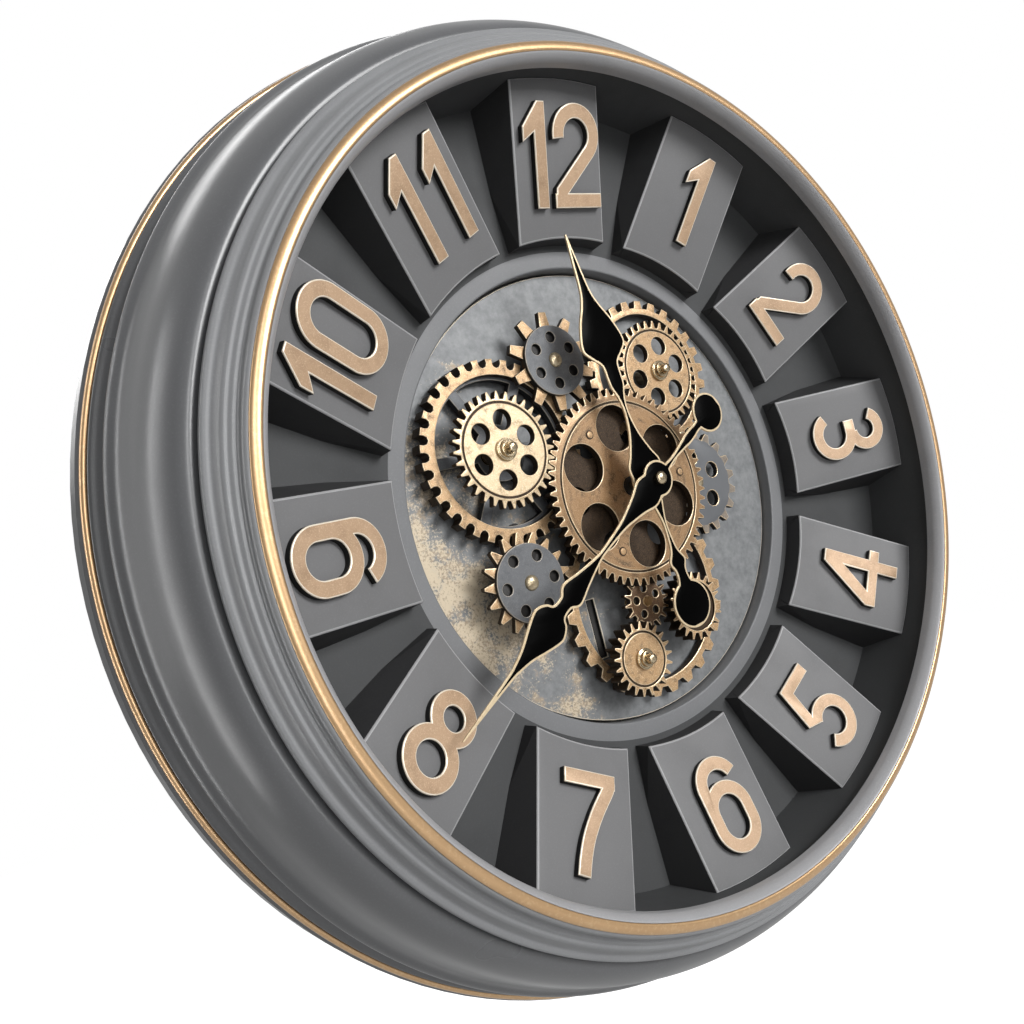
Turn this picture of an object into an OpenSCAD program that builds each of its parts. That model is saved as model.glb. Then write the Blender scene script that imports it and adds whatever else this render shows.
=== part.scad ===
// Round gear wall clock: a deep rolled casing, a recessed dial with twelve raised
// numeral blocks, a round plate of fixed and turning gears, and two spade hands.
// Everything is drawn lying on its back, dial up, and then hung with the dial facing -Y.
// Depths are measured back from the front lip, heights up from the face of the gear plate.

/* [Casing] */
// Outside diameter of the casing
casing_d = 610; // [606:1:640]
// Diameter of the opening in the front lip
opening_d = 483; // [478:1:485]
// Depth from the front lip back to the wall
shell_depth = 101; // [101:0.5:108]
// Thickness of the lip and of the bezel behind it
lip_t = 3.2; // [2.6:0.1:3.6]
// Width of the bead laid along the crest of the front lip
front_bead_w = 6; // [5.4:0.1:6.4]
// Thickness of the front bead
front_bead_t = 2.6; // [2.2:0.1:3]
// Distance from the opening to the middle of the front bead
front_bead_in = 7; // [6.6:0.1:7.4]
// Height of the front bead's middle above the lip's edge
front_bead_rise = 7.3; // [7:0.1:7.6]
// Radius of the bead wire behind the rolled drum
rear_bead_r = 2.1; // [1.8:0.1:2.4]
// Width of the ledge that carries the back panel
ledge_w = 14; // [10:0.5:18]
// Thickness of the back panel
panel_t = 3; // [2:0.5:4]

/* [Dial] */
// Diameter of the gear plate
plate_d = 286; // [282:1:290]
// Thickness of the gear plate
plate_t = 3; // [2:0.5:4]
// Depth of the gear plate's face behind the flat ring round it
plate_drop = 8.2; // [6.2:0.1:9.2]
// Thickness of the board behind the gear plate
backer_t = 4; // [3:0.5:4.5]
// Thickness of the pressed dial dish
dish_t = 3; // [2:0.5:4]
// Gap round the gear plate
plate_gap = 1.5; // [1:0.1:2.5]
// Width of the flat ring round the gear plate
ring_w = 10; // [8:0.5:12]
// Depth of the flat ring behind the lip
ring_depth = 61.8; // [60:0.2:63]
// Depth of the dial floor where it meets the side wall
floor_depth = 50.5; // [48:0.5:53]
// Height of a numeral block at its inner end
block_h = 12; // [10:0.5:14]
// Width of a numeral block's face
block_w = 66; // [60:1:68]
// Slope of a numeral block's face, rising towards the rim
block_slope = 17.9; // [15:0.1:18.5]
// Splay of a block's foot on each side at its inner end
block_foot_in = 0.4; // [0.2:0.1:1]
// Splay of a block's foot on each side at its outer end
block_foot_out = 12; // [9:0.5:13]

/* [Numerals] */
// Height of a numeral
numeral_h = 60; // [52:1:64]
// Width of a round figure
numeral_w = 36; // [32:1:40]
// Width of the strokes
numeral_stroke = 8.7; // [7:0.1:10]
// Thickness of the numerals
numeral_t = 4.5; // [3.5:0.5:6.5]
// Distance from a block's inner edge to the middle of its numeral
numeral_place = 53; // [50:1:56]
// Gap between the two figures of a double numeral
figure_gap = 5; // [3:0.5:7]

/* [Gears] */
// Width of a tooth of the turning gears at its pitch line, play included
tooth_w = 3.14159; // [2.98:0.01:3.22]
// Play between meshing flanks
gear_play = 0.12; // [0.08:0.02:0.2]
// Thickness of the turning gears
gear_t = 5; // [4:0.5:5.5]
// Height of the front gears above the plate
front_gear_h = 21.5; // [21.2:0.1:23]
// Height of the rear gears above the plate
rear_gear_h = 14; // [13.6:0.1:14.4]
// Thickness of the rear gears
rear_gear_t = 4; // [3:0.5:4.5]
// Teeth of the centre gear
centre_teeth = 60; // [60:1:60]
// Teeth of the wheel behind the centre gear
rear_teeth = 56; // [56:1:56]
// Teeth of the left gear and of the upper right gear
side_teeth = 32; // [32:1:32]
// Teeth of the dark idler gear
idler_teeth = 16; // [16:1:16]
// Teeth of the lower gear
lower_teeth = 21; // [21:1:21]
// Teeth of the small gear on the right
small_teeth = 20; // [20:1:20]
// Thickness of the lower gear and of the small gear
thick_gear_t = 10; // [8:0.5:11]
// Radius of the studs that the gears turn on
stud_r = 3; // [2.5:0.1:3.4]
// Radius of the sleeve that the centre gear turns on
sleeve_r = 6; // [5.5:0.1:7]
// Thickness of the fixed ring gears
ring_gear_t = 5; // [4:0.5:5.4]
// Height of the left ring gear above the plate
ring_gear_h = 8; // [7.5:0.1:8.4]
// Height of the upper and lower ring gears above the plate
low_ring_h = 2.9; // [2.8:0.1:3.2]
// Thickness of the upper and lower ring gears
low_ring_t = 5.6; // [5:0.1:5.8]
// Thickness of the grey discs on the two star gears
disc_t = 2.5; // [1.5:0.1:2.8]

/* [Hands] */
// Length of the minute hand from the axis to its tip
minute_len = 199; // [180:1:205]
// Length of the hour hand from the axis to its tip
hour_len = 153.5; // [130:1:160]
// Thickness of a hand
hand_t = 1.2; // [0.8:0.1:1.6]
// Height of the hour hand above the plate
hour_h = 43.2; // [42:0.1:45]
// Height of the minute hand above the plate
minute_h = 50.8; // [50.5:0.1:52]
// Angle of the minute hand, clockwise from twelve
minute_angle = 238.6; // [0:0.1:360]
// Angle of the hour hand, clockwise from twelve
hour_angle = 353.8; // [0:0.1:360]
// Radius of the hour tube
hour_tube_r = 3.2; // [2.8:0.1:3.8]
// Radius of the minute shaft
minute_shaft_r = 1.6; // [1.2:0.1:2]
// Radius of the domed cap on the hands
cap_r = 4; // [3:0.1:5]

/* [Works] */
// Side of the square clock movement
movement_w = 56; // [56:1:60]
// Thickness of the clock movement without its cover
movement_t = 15.2; // [14.8:0.1:16]
// Thickness of the movement's cover
cover_t = 1.5; // [1:0.1:1.8]
// Radius of the movement's threaded neck
neck_r = 5; // [4.5:0.1:5.2]
// Radius of a battery cell
cell_r = 7.1; // [6.8:0.1:7.2]
// Length of a battery cell
cell_l = 50; // [49:0.5:50.5]
// Wall of the plastic cases
case_wall = 1.6; // [1.2:0.1:2]
// Width of the gear motor's case
motor_w = 62; // [58:1:66]
// Height of the gear motor's case
motor_l = 74; // [70:1:78]
// Thickness of the gear motor's case
motor_t = 16.4; // [16:0.1:17]
// Radius of the setting knob
knob_r = 7; // [5:0.5:8]
// Travel of the gear motor's switch
switch_travel = 4; // [3:0.5:5]
// Width of the opening in the back panel
access_w = 130; // [110:1:140]
// Height of the opening in the back panel
access_h = 170; // [160:1:180]

/* [Hanging] */
// Radius of the keyhole's round end
keyhole_r = 5; // [4:0.5:6]
// Radius of the keyhole's slot
keyslot_r = 2.2; // [1.8:0.1:2.6]
// Thickness of the hanger plate
hanger_t = 2; // [1.5:0.1:2]
// Width of the hanger plate
hanger_w = 70; // [60:1:90]
// Height of the hanger plate
hanger_l = 34; // [32:1:44]
// Distance from the top of the casing down to the keyhole
hanger_down = 90; // [80:1:105]
// Radius of the screw shanks in the back
screw_r = 1.9; // [1.5:0.1:2.2]

/* [Hidden] */

$fn = 96;
// Gap left between pieces that rest against each other
seat_gap = 0.1;
// Clearance all round a running fit
run_gap = 0.05;
// Clearance between pieces that pass each other
pass_gap = 0.3;
// Overrun of cutting solids
over = 1;

// Sizes of the casing worked out from the driving values
casing_r = casing_d / 2;
opening_r = opening_d / 2;
rim_w = casing_r - opening_r;
// Slope of the front bead, falling outwards
front_bead_lean = 11;
bead_proud = front_bead_rise + norm([front_bead_t / 2 * cos(front_bead_lean),
  front_bead_w / 2 * sin(front_bead_lean)]);
lip_z = (shell_depth - bead_proud) / 2;
front_bead_ring_r = opening_r + front_bead_in;

// Shares of the rim's width and of the shell's depth along the lip, up to its crest
lip_shares = [[0, -0.012], [0.005, -0.027], [0.0175, -0.046], [0.036, -0.064],
  [0.051, -0.0745]];
// Shares of the same two sizes along the bezel's outside
bezel_shares = [[0.1725, -0.0634], [0.186, -0.0555], [0.1955, -0.0416], [0.2, -0.022],
  [0.211, -0.0085], [0.238, -0.003], [0.263, 0.009], [0.288, 0.0135], [0.309, 0.025],
  [0.324, 0.043], [0.35, 0.0645], [0.384, 0.0735], [0.408, 0.0825], [0.416, 0.098],
  [0.411, 0.118], [0.368, 0.1625]];
// Shares along the bezel's inside
bezel_inner_shares = [[0.33, 0.1625], [0.326, 0.131], [0.301, 0.093], [0.241, 0.0595],
  [0.187, 0.0455]];
// Shares along the outside of the rolled drum
drum_shares = [[0.368, 0.1655], [0.395, 0.1535], [0.433, 0.1445], [0.479, 0.1475],
  [0.543, 0.1743], [0.611, 0.2238], [0.671, 0.286], [0.715, 0.3604], [0.754, 0.4535],
  [0.799, 0.538], [0.858, 0.578], [0.873, 0.604], [0.848, 0.639], [0.806, 0.69],
  [0.818, 0.73], [0.865, 0.757], [0.918, 0.772], [0.932, 0.785], [0.911, 0.795]];
// Shares along the inside of the rolled drum
drum_inner_shares = [[0.864, 0.8405], [0.862, 0.81], [0.835, 0.788], [0.782, 0.765],
  [0.757, 0.69], [0.79, 0.63], [0.798, 0.612], [0.765, 0.572], [0.707, 0.467],
  [0.668, 0.375], [0.625, 0.309], [0.5685, 0.2515], [0.5055, 0.208], [0.441, 0.187],
  [0.375, 0.194], [0.33, 0.1655]];
// Share of the rim's width at which the drum's rear end stands
drum_end_share = 0.911;
// Share of the shell's depth at which the drum ends
drum_end_depth_share = 0.8405;
drum_end_r = opening_r + drum_end_share * rim_w;
drum_end_depth = drum_end_depth_share * shell_depth;
rear_bead_ring_r = drum_end_r + seat_gap + rear_bead_r;
rear_bead_depth = drum_end_depth - seat_gap - rear_bead_r;

// Rear ring and back panel
rear_band_w = 5;
rear_chamfer = 1.4;
panel_recess = 2;
ledge_t = 4;
flange_w = 12;
panel_front_depth = shell_depth - panel_recess - panel_t;
panel_r = casing_r - rear_band_w - pass_gap;

// Dial dish
plate_r = plate_d / 2;
ring_in_r = plate_r + plate_gap;
floor_in_r = ring_in_r + ring_w;
wall_back = 0.8;
wall_lean = 5;
floor_out_r = opening_r + wall_back;
wall_top_r = floor_out_r + wall_lean;
plate_depth = ring_depth + plate_drop;
backer_depth = plate_depth + plate_t;
backer_back_depth = backer_depth + backer_t;
backer_lap = 4;
backer_r = floor_in_r + backer_lap;

// Numeral blocks
block_overhang = 1.3;
block_in_r = floor_in_r - block_overhang;
block_end_lean = 2.1;
block_in_depth = ring_depth - block_h;
block_past = 6;
block_end_gap = 4.4;
block_end_r = floor_in_r + block_end_gap;
hour_step = 30;
first_turned_hour = 4;
last_turned_hour = 8;

// Heights of the hands and the works
sleeve_proud = 1.5;
sleeve_h = front_gear_h + gear_t + sleeve_proud;
cap_h = 4.5;
collet_h = 2.4;
collet_r_share = 1.8;
hour_tube_proud = 1.2;
hour_tube_top = hour_h + hand_t + hour_tube_proud;
minute_top = minute_h + hand_t;
works_h = -plate_t - backer_t;
movement_back_h = works_h - movement_t - cover_t;

// Places of the gears on the plate, worked out so that the turning gears mesh
gear_m = 2 * tooth_w / PI;
centre_pitch_r = gear_m * centre_teeth / 2;
rear_pitch_r = gear_m * rear_teeth / 2;
side_pitch_r = gear_m * side_teeth / 2;
idler_pitch_r = gear_m * idler_teeth / 2;
lower_pitch_r = gear_m * lower_teeth / 2;
small_pitch_r = gear_m * small_teeth / 2;
left_dir = 156.3;
upper_dir = 51.7;
idler_dir = 267.1;
lower_dir = 239.6;
small_dir = 340.1;
centre_at = [0, 0];
left_at = centre_at + ray(centre_pitch_r + side_pitch_r, left_dir);
upper_at = centre_at + ray(rear_pitch_r + side_pitch_r, upper_dir);
idler_at = centre_at + ray(rear_pitch_r + idler_pitch_r, idler_dir);
lower_at = idler_at + ray(idler_pitch_r + lower_pitch_r, lower_dir);
small_at = idler_at + ray(idler_pitch_r + small_pitch_r, small_dir);

// Turn of each gear at which its teeth stand in mesh
centre_turn = 0;
rear_turn = 0;
left_turn = mesh_turn(centre_teeth, centre_turn, side_teeth, left_dir);
upper_turn = mesh_turn(rear_teeth, rear_turn, side_teeth, upper_dir);
idler_turn = mesh_turn(rear_teeth, rear_turn, idler_teeth, idler_dir);
lower_turn = mesh_turn(idler_teeth, idler_turn, lower_teeth, lower_dir);
small_turn = mesh_turn(idler_teeth, idler_turn, small_teeth, small_dir);

// Places of the fixed gears as shares of the plate's radius
left_ring_place_shares = [-0.5301, 0.2629];
lower_ring_place_shares = [0.0391, -0.4853];
right_gear_place_shares = [0.4839, -0.0531];
top_left_place_shares = [-0.2007, 0.5937];
bottom_left_place_shares = [-0.6, -0.2798];
left_ring_at = plate_r * left_ring_place_shares;
lower_ring_at = plate_r * lower_ring_place_shares;
right_gear_at = plate_r * right_gear_place_shares;
top_left_at = plate_r * top_left_place_shares;
bottom_left_at = plate_r * bottom_left_place_shares;

// Radii and teeth of the fixed gears
left_ring_r = 55.1;
left_ring_in_r = 45.6;
left_ring_teeth = 34;
gullet_r = 2.7;
lower_ring_r = 64.5;
lower_ring_in_r = 54.9;
lower_ring_teeth = 27;
upper_ring_r = 50.6;
upper_ring_in_r = 41.5;
upper_ring_teeth = 26;
ring_tooth_h = 5;
right_gear_r = 35.2;
right_tooth_h = 5.5;
right_gear_teeth = 19;
top_left_r = 30.6;
top_left_disc_r = 21.6;
top_left_teeth = 10;
bottom_left_r = 30;
bottom_left_disc_r = 23.2;
bottom_left_teeth = 17;
disc_lap = 0.8;
standoff_r = 3.5;
foot_r = 2;
post_r = 5;
rivet_r = 2.5;
rivet_head_r = 4.6;
rivet_head_h = 2.6;
rivet_sink = 4;
stud_shoulder_r = 5;
stud_proud = 9.5;
hub_flange_r = 6.6;
hub_flange_t = 1.8;
hub_collar_r = 4.9;
hub_collar_t = 2.6;
plate_slot_w = 6;
plate_slot_l = 37;
// Place of the plate's slot as shares of the plate's radius
plate_slot_shares = [-0.2349, -0.563];
plate_slot_at = plate_r * plate_slot_shares;

// Point at a distance and an angle, counted anticlockwise from the right
function ray(r, a) = [r * cos(a), r * sin(a)];
// Same, with the angle counted clockwise from twelve
function dial(r, a) = [r * sin(a), r * cos(a)];
function z_of(depth) = lip_z - depth;
plate_z = z_of(plate_depth);
// Place in the rim's section from shares of its width and of the shell's depth
function rim_point(s) = [opening_r + s[0] * rim_w, z_of(s[1] * shell_depth)];
// Curve through a list of points, with steps between each two
function curve(p, steps) = concat([for (i = [0 : len(p) - 2]) for (k = [0 : steps - 1])
  let (a = p[max(i - 1, 0)], b = p[i], c = p[i + 1], d = p[min(i + 2, len(p) - 1)],
    t = k / steps)
  (2 * b + (c - a) * t + (2 * a - 5 * b + 4 * c - d) * t * t
    + (3 * b - 3 * c + d - a) * t * t * t) / 2], [p[len(p) - 1]]);
function arc(c, r, a0, a1, n) = [for (i = [0 : n]) c + ray(r, a0 + (a1 - a0) * i / n)];
function reversed(p) = [for (i = [len(p) - 1 : -1 : 0]) p[i]];
function side_of(p, i) = let (d = p[min(i + 1, len(p) - 1)] - p[max(i - 1, 0)])
  [-d[1], d[0]] / norm(d);
// Outline of a stroke of width w along a path
function stroke(p, w) = concat([for (i = [0 : len(p) - 1]) p[i] - side_of(p, i) * w / 2],
  reversed([for (i = [0 : len(p) - 1]) p[i] + side_of(p, i) * w / 2]));

// Involute of an angle, in degrees
function involute(a) = tan(a) * 180 / PI - a;
pressure_angle = 20;
addendum_share = 0.96;
dedendum_share = 1.25;
// Half the angle that a tooth takes at radius r
function tooth_half(n, r, m) = let (base = m * n / 2 * cos(pressure_angle))
  90 / n + involute(pressure_angle) - (r > base ? involute(acos(base / r)) : 0)
  - gear_play / r * 180 / PI;
function tip_r(n, m = gear_m) = m * (n / 2 + addendum_share);
function root_r(n, m = gear_m) = m * (n / 2 - dedendum_share);
function gear_outline(n, m = gear_m) = [for (k = [0 : n - 1]) for (s = [[root_r(n, m), -1],
  [tip_r(n, m), -1], [tip_r(n, m), 1], [root_r(n, m), 1]])
  ray(s[0], k * 360 / n + s[1] * tooth_half(n, s[0], m))];
// Turn of a second gear that puts it in mesh with the first along a direction
function mesh_turn(n1, turn1, n2, dir) = dir + 180
  - (0.5 - (dir - turn1) * n1 / 360) * 360 / n2;
// Outline of a coarse decorative gear: shares of the pitch at the tip and at the root
function star_outline(n, tip, root, tip_share, root_share) = [for (k = [0 : n - 1])
  for (s = [[root, -root_share], [tip, -tip_share], [tip, tip_share], [root, root_share]])
  ray(s[0], (k + s[1] / 2) * 360 / n)];
// Outline with round gullets between flat teeth
gullet_steps = 4;
function gullet_outline(n, tip, gullet_r) = [for (k = [0 : n - 1])
  let (mid = (k + 0.5) * 360 / n, c = ray(tip - gullet_r, mid),
    half = asin(gullet_r / tip))
  each concat([ray(tip, mid - half)],
    arc(c, gullet_r, mid - 90, mid - 270, gullet_steps), [ray(tip, mid + half)])];

module hang() {
  rotate([90, 0, 0]) children();
}

module ring_of(points) {
  rotate_extrude($fn = 180) polygon(points);
}

// Casing

module front_bezel() {
  color("#747678") hang() ring_of(concat(
    [[opening_r, z_of(lip_t)]], curve([for (s = lip_shares) rim_point(s)], 2),
    bead_section(front_bead_lean + 180, front_bead_lean + 360, seat_gap),
    curve([for (s = bezel_shares) rim_point(s)], 3),
    [for (s = bezel_inner_shares) rim_point(s)],
    [[opening_r + bezel_inner_shares[4][0] * rim_w - lip_t / 2, z_of(lip_t)]]));
}

// Part of the front bead's section, from one turn to another, grown all round
function bead_section(first, last, grow) = [for (a = [first : 15 : last])
  let (along = (front_bead_w / 2 + grow) * cos(a - front_bead_lean),
    across = (front_bead_t / 2 + grow) * sin(a - front_bead_lean))
  [front_bead_ring_r + along * cos(front_bead_lean) + across * sin(front_bead_lean),
    z_of(-front_bead_rise) - along * sin(front_bead_lean) + across * cos(front_bead_lean)]];

module front_bead() {
  // Turn at which the section stands highest
  top = front_bead_lean + atan2(front_bead_t * cos(front_bead_lean),
    -front_bead_w * sin(front_bead_lean));
  color("#c9a27a") hang() ring_of(bead_section(top, top + 345, 0));
}

module rear_bead() {
  color("#c9a27a") hang() translate([0, 0, z_of(rear_bead_depth)])
    rotate_extrude($fn = 180) translate([rear_bead_ring_r, 0]) circle(rear_bead_r, $fn = 24);
}

module casing_drum() {
  color("#6d6f71") hang() ring_of(concat(
    curve([for (s = drum_shares) rim_point(s)], 3),
    [[drum_end_r, z_of(drum_end_depth)]],
    [for (s = drum_inner_shares) rim_point(s)]));
}

module rear_ring() {
  front = drum_end_depth;
  color("#5f6163") hang() difference() {
    ring_of([[casing_r - flange_w - rear_chamfer, z_of(front)],
      [casing_r - rear_chamfer, z_of(front)],
      [casing_r, z_of(front + rear_chamfer)],
      [casing_r, z_of(shell_depth - rear_chamfer)],
      [casing_r - rear_chamfer, z_of(shell_depth)],
      [casing_r - rear_band_w, z_of(shell_depth)],
      [casing_r - rear_band_w, z_of(panel_front_depth)],
      [casing_r - rear_band_w - ledge_w, z_of(panel_front_depth)],
      [casing_r - rear_band_w - ledge_w, z_of(panel_front_depth - ledge_t)]]);
    rim_screw_places() translate([0, 0, -over])
      cylinder(r = screw_r + run_gap, h = panel_screw_bite + over);
  }
}

panel_screw_count = 8;
panel_screw_bite = 3;
rim_screw_r = casing_r - rear_band_w - ledge_w / 2;

module rim_screw_places() {
  for (k = [0 : panel_screw_count - 1])
    translate(concat(dial(rim_screw_r, (k + 0.5) * 360 / panel_screw_count),
      z_of(panel_front_depth))) children();
}

// Dial

module dial_dish() {
  slope = (ring_depth - floor_depth) / (floor_out_r - floor_in_r);
  color("#55575a") hang() ring_of([
    [wall_top_r, z_of(lip_t)], [floor_out_r, z_of(floor_depth)],
    [floor_in_r, z_of(ring_depth)], [ring_in_r, z_of(ring_depth)],
    [ring_in_r, z_of(backer_depth)], [ring_in_r + dish_t, z_of(backer_depth)],
    [ring_in_r + dish_t, z_of(ring_depth + dish_t)],
    [floor_in_r, z_of(ring_depth + dish_t)],
    [floor_out_r + dish_t, z_of(floor_depth + dish_t - slope * dish_t)],
    [wall_top_r + dish_t, z_of(lip_t)]]);
}

// All that lies behind the dial's floor and outside its wall
module behind_floor() {
  far = 2 * casing_r;
  ring_of([[0, z_of(ring_depth - seat_gap)], [floor_in_r, z_of(ring_depth - seat_gap)],
    [floor_out_r - seat_gap, z_of(floor_depth - seat_gap)],
    [wall_top_r - seat_gap, z_of(lip_t - over)], [far, z_of(lip_t - over)],
    [far, z_of(far)], [0, z_of(far)]]);
}

module numeral_block() {
  half = block_w / 2;
  out_r = wall_top_r + block_past;
  rise = (out_r - block_in_r) * tan(block_slope);
  drop = block_h + block_past;
  drop_share = drop / block_h;
  foot_z = z_of(block_in_depth + drop);
  out_drop = block_in_depth - rise - floor_depth;
  out_share = (rise + drop) / -out_drop;
  out_half = half + block_foot_out * out_share;
  in_half = half + block_foot_in * drop_share;
  in_r = block_in_r - block_end_lean * drop_share;
  top_z = z_of(block_in_depth);
  polyhedron(
    points = [[-half, block_in_r, top_z], [half, block_in_r, top_z],
      [half, out_r, top_z + rise], [-half, out_r, top_z + rise],
      [-in_half, in_r, foot_z], [in_half, in_r, foot_z],
      [out_half, out_r, foot_z], [-out_half, out_r, foot_z]],
    faces = [[3, 2, 1, 0], [4, 5, 6, 7], [0, 1, 5, 4], [1, 2, 6, 5], [2, 3, 7, 6],
      [3, 0, 4, 7]]);
}

module numeral_blocks() {
  color("#7f8183") hang() for (h = [1 : 12]) difference() {
    rotate(-h * hour_step) numeral_block();
    behind_floor();
    translate([0, 0, z_of(ring_depth + over)])
      cylinder(r = block_end_r, h = 2 * block_h + over, $fn = 180);
  }
}

// Figures, drawn about their own middle

bowl_r = (numeral_w - numeral_stroke) / 2;
top_y = (numeral_h - numeral_stroke) / 2;
arc_steps = 32;

module stadium(r, half) {
  translate([0, half]) circle(r);
  translate([0, -half]) circle(r);
  translate([-r, -half]) square([2 * r, 2 * half]);
}

module ring2d(r) {
  difference() {
    circle(r + numeral_stroke / 2);
    circle(r - numeral_stroke / 2);
  }
}

// Shares of the height that place the parts of each figure
one_flag_share = 0.14;
one_notch_share = 0.24;
bowl_hook = 10;
seven_shares = [[0.38, 0.4275], [0.358, 0.357], [0.145, 0.133], [-0.025, -0.1],
  [-0.11, -0.3], [-0.145, -0.465]];
bowl_high_share = 0.14;
upper_bowl_share = 0.82;

module figure_one() {
  right = one_w / 2;
  left = right - numeral_stroke;
  polygon([[left, -numeral_h / 2], [right, -numeral_h / 2], [right, numeral_h / 2],
    [left + numeral_stroke / 3, numeral_h / 2],
    [left - one_flag, numeral_h / 2 - one_notch],
    [left - one_flag, numeral_h / 2 - one_notch - numeral_stroke],
    [left, numeral_h / 2 - one_notch - numeral_stroke / 3]]);
}

one_flag = one_flag_share * numeral_h;
one_notch = one_notch_share * numeral_h;
one_w = numeral_stroke + one_flag;

module figure_two() {
  c = [0, top_y - bowl_r];
  foot = [-bowl_r, -top_y + numeral_stroke / 2];
  d = norm(c - foot);
  lean = atan2(c[1] - foot[1], c[0] - foot[0]) - asin(bowl_r / d);
  polygon(stroke(concat(arc(c, bowl_r, 180 + bowl_hook, lean - 90, arc_steps), [foot]),
    numeral_stroke));
  translate([-numeral_w / 2, -numeral_h / 2]) square([numeral_w, numeral_stroke]);
  lift = foot + ray(numeral_stroke / 2, lean);
  polygon([[-numeral_w / 2, -numeral_h / 2], [0, -numeral_h / 2],
    [0, numeral_stroke - numeral_h / 2], lift + ray(numeral_stroke / 2, lean - 90),
    lift + ray(numeral_stroke / 2, lean + 90), foot + ray(numeral_stroke / 2, lean + 90)]);
}

module figure_three() {
  upper_r = upper_bowl_share * bowl_r;
  polygon(stroke(arc([0, top_y - upper_r], upper_r, 155, -90, arc_steps), numeral_stroke));
  polygon(stroke(arc([0, bowl_r - top_y], bowl_r, 90, -155, arc_steps), numeral_stroke));
  translate([-numeral_stroke, 2 * bowl_r - top_y - numeral_stroke / 2])
    square([1.3 * numeral_stroke, numeral_stroke]);
}

module figure_four() {
  stem_left = numeral_stroke / 2;
  stem_right = stem_left + numeral_stroke;
  bar_y = -numeral_h / 6;
  bar_low = bar_y - numeral_stroke * 0.46;
  bar_high = bar_y + numeral_stroke * 0.46;
  left = -0.42 * numeral_h + numeral_stroke / 2;
  right = stem_right + 0.85 * numeral_stroke;
  bottom = -numeral_h / 2;
  difference() {
    polygon([[left, bar_low], [stem_left, bar_low], [stem_left, bottom],
      [stem_right, bottom], [stem_right, bar_low], [right, bar_low], [right, bar_high],
      [stem_right, bar_high], [stem_right, -bottom], [stem_left, -bottom],
      [left, bar_high]]);
    polygon([[left + numeral_stroke * 1.25, bar_high], [stem_left, bar_high],
      [stem_left, -bottom - numeral_stroke * 1.9]]);
  }
}

module figure_five() {
  c = [0, bowl_r - top_y];
  corner = [-0.21 * numeral_h, numeral_h / 2];
  foot = [-numeral_w / 2, 0];
  first = 138;
  translate([corner[0], corner[1] - numeral_stroke])
    square([0.46 * numeral_h, numeral_stroke]);
  polygon([corner, foot, c + ray(bowl_r - numeral_stroke / 2, first),
    c + ray(bowl_r + numeral_stroke / 4, first - 10), corner + [numeral_stroke, 0]]);
  polygon(stroke(arc(c, bowl_r, first, -150, arc_steps), numeral_stroke));
}

module figure_six() {
  high = bowl_high_share * numeral_h / 2;
  translate([0, bowl_r - top_y + high]) difference() {
    stadium(numeral_w / 2, high);
    stadium(numeral_w / 2 - numeral_stroke, high);
  }
  polygon(stroke(concat([[-bowl_r, bowl_r - top_y]],
    arc([0, top_y - bowl_r], bowl_r, 180, 20, arc_steps)), numeral_stroke));
}

module figure_seven() {
  right = numeral_w / 2;
  translate([-right, numeral_h / 2 - numeral_stroke]) square([numeral_w, numeral_stroke]);
  polygon(stroke(curve([for (s = seven_shares) [s[0] * numeral_w, s[1] * numeral_h]], 5),
    numeral_stroke));
}

module figure_eight() {
  upper_r = upper_bowl_share * bowl_r;
  translate([0, top_y - upper_r]) ring2d(upper_r);
  translate([0, bowl_r - top_y]) ring2d(bowl_r);
}

module figure_zero() {
  half = (numeral_h - numeral_w) / 2;
  difference() {
    stadium(numeral_w / 2, half);
    stadium(numeral_w / 2 - numeral_stroke, half);
  }
}

module numeral_shape(h) {
  pair = (one_w + figure_gap + numeral_w) / 2;
  if (h == 1) figure_one();
  if (h == 2) figure_two();
  if (h == 3) figure_three();
  if (h == 4) figure_four();
  if (h == 5) figure_five();
  if (h == 6) figure_six();
  if (h == 7) figure_seven();
  if (h == 8) figure_eight();
  if (h == 9) rotate(180) figure_six();
  if (h == 10 || h == 12) {
    translate([one_w / 2 - pair, 0]) figure_one();
    translate([pair - numeral_w / 2, 0]) {
      if (h == 10) figure_zero();
      if (h == 12) figure_two();
    }
  }
  if (h == 11) for (s = [-1, 1])
    translate([s * (one_w + figure_gap * 2.2) / 2, 0]) figure_one();
}

module numeral(h) {
  turned = h >= first_turned_hour && h <= last_turned_hour;
  color("#c79f78") hang() rotate(-h * hour_step)
    translate([0, block_in_r, z_of(block_in_depth)]) rotate([block_slope, 0, 0])
    translate([0, numeral_place, seat_gap]) rotate(turned ? 180 : 0)
    linear_extrude(numeral_t) numeral_shape(h);
}

// Plate and fixed gears

module at(place, h) {
  translate([place[0], place[1], plate_z + h]) children();
}

module gear_plate() {
  color("#86857f") hang() difference() {
    at(centre_at, -plate_t) cylinder(r = plate_r, h = plate_t, $fn = 180);
    at(centre_at, -plate_t - over) cylinder(r = neck_r + run_gap, h = plate_t + 2 * over);
    at(idler_at, -plate_t - over) cylinder(r = stud_r + run_gap, h = plate_t + 2 * over);
    at(plate_slot_at, -plate_t - over) translate([-plate_slot_w / 2, -plate_slot_l / 2])
      cube([plate_slot_w, plate_slot_l, plate_t + 2 * over]);
  }
}

module plate_backer() {
  color("#4a4845") hang() difference() {
    at(centre_at, works_h) cylinder(r = backer_r, h = backer_t, $fn = 180);
    at(centre_at, works_h - over) cylinder(r = neck_r + run_gap, h = backer_t + 2 * over);
    at(idler_at, works_h - over) cylinder(r = stud_r + run_gap, h = backer_t + 2 * over);
  }
}

spoke_w = 7;
spoke_count = 6;
spoke_t = 5;
spoke_lap = 2;
rim_lap = 2;
ring_skirt_h = 4.5;
left_rim_out_r = left_ring_in_r + rim_lap;
left_rim_in_r = left_ring_in_r - rim_lap;
left_hub_r = 17;

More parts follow.
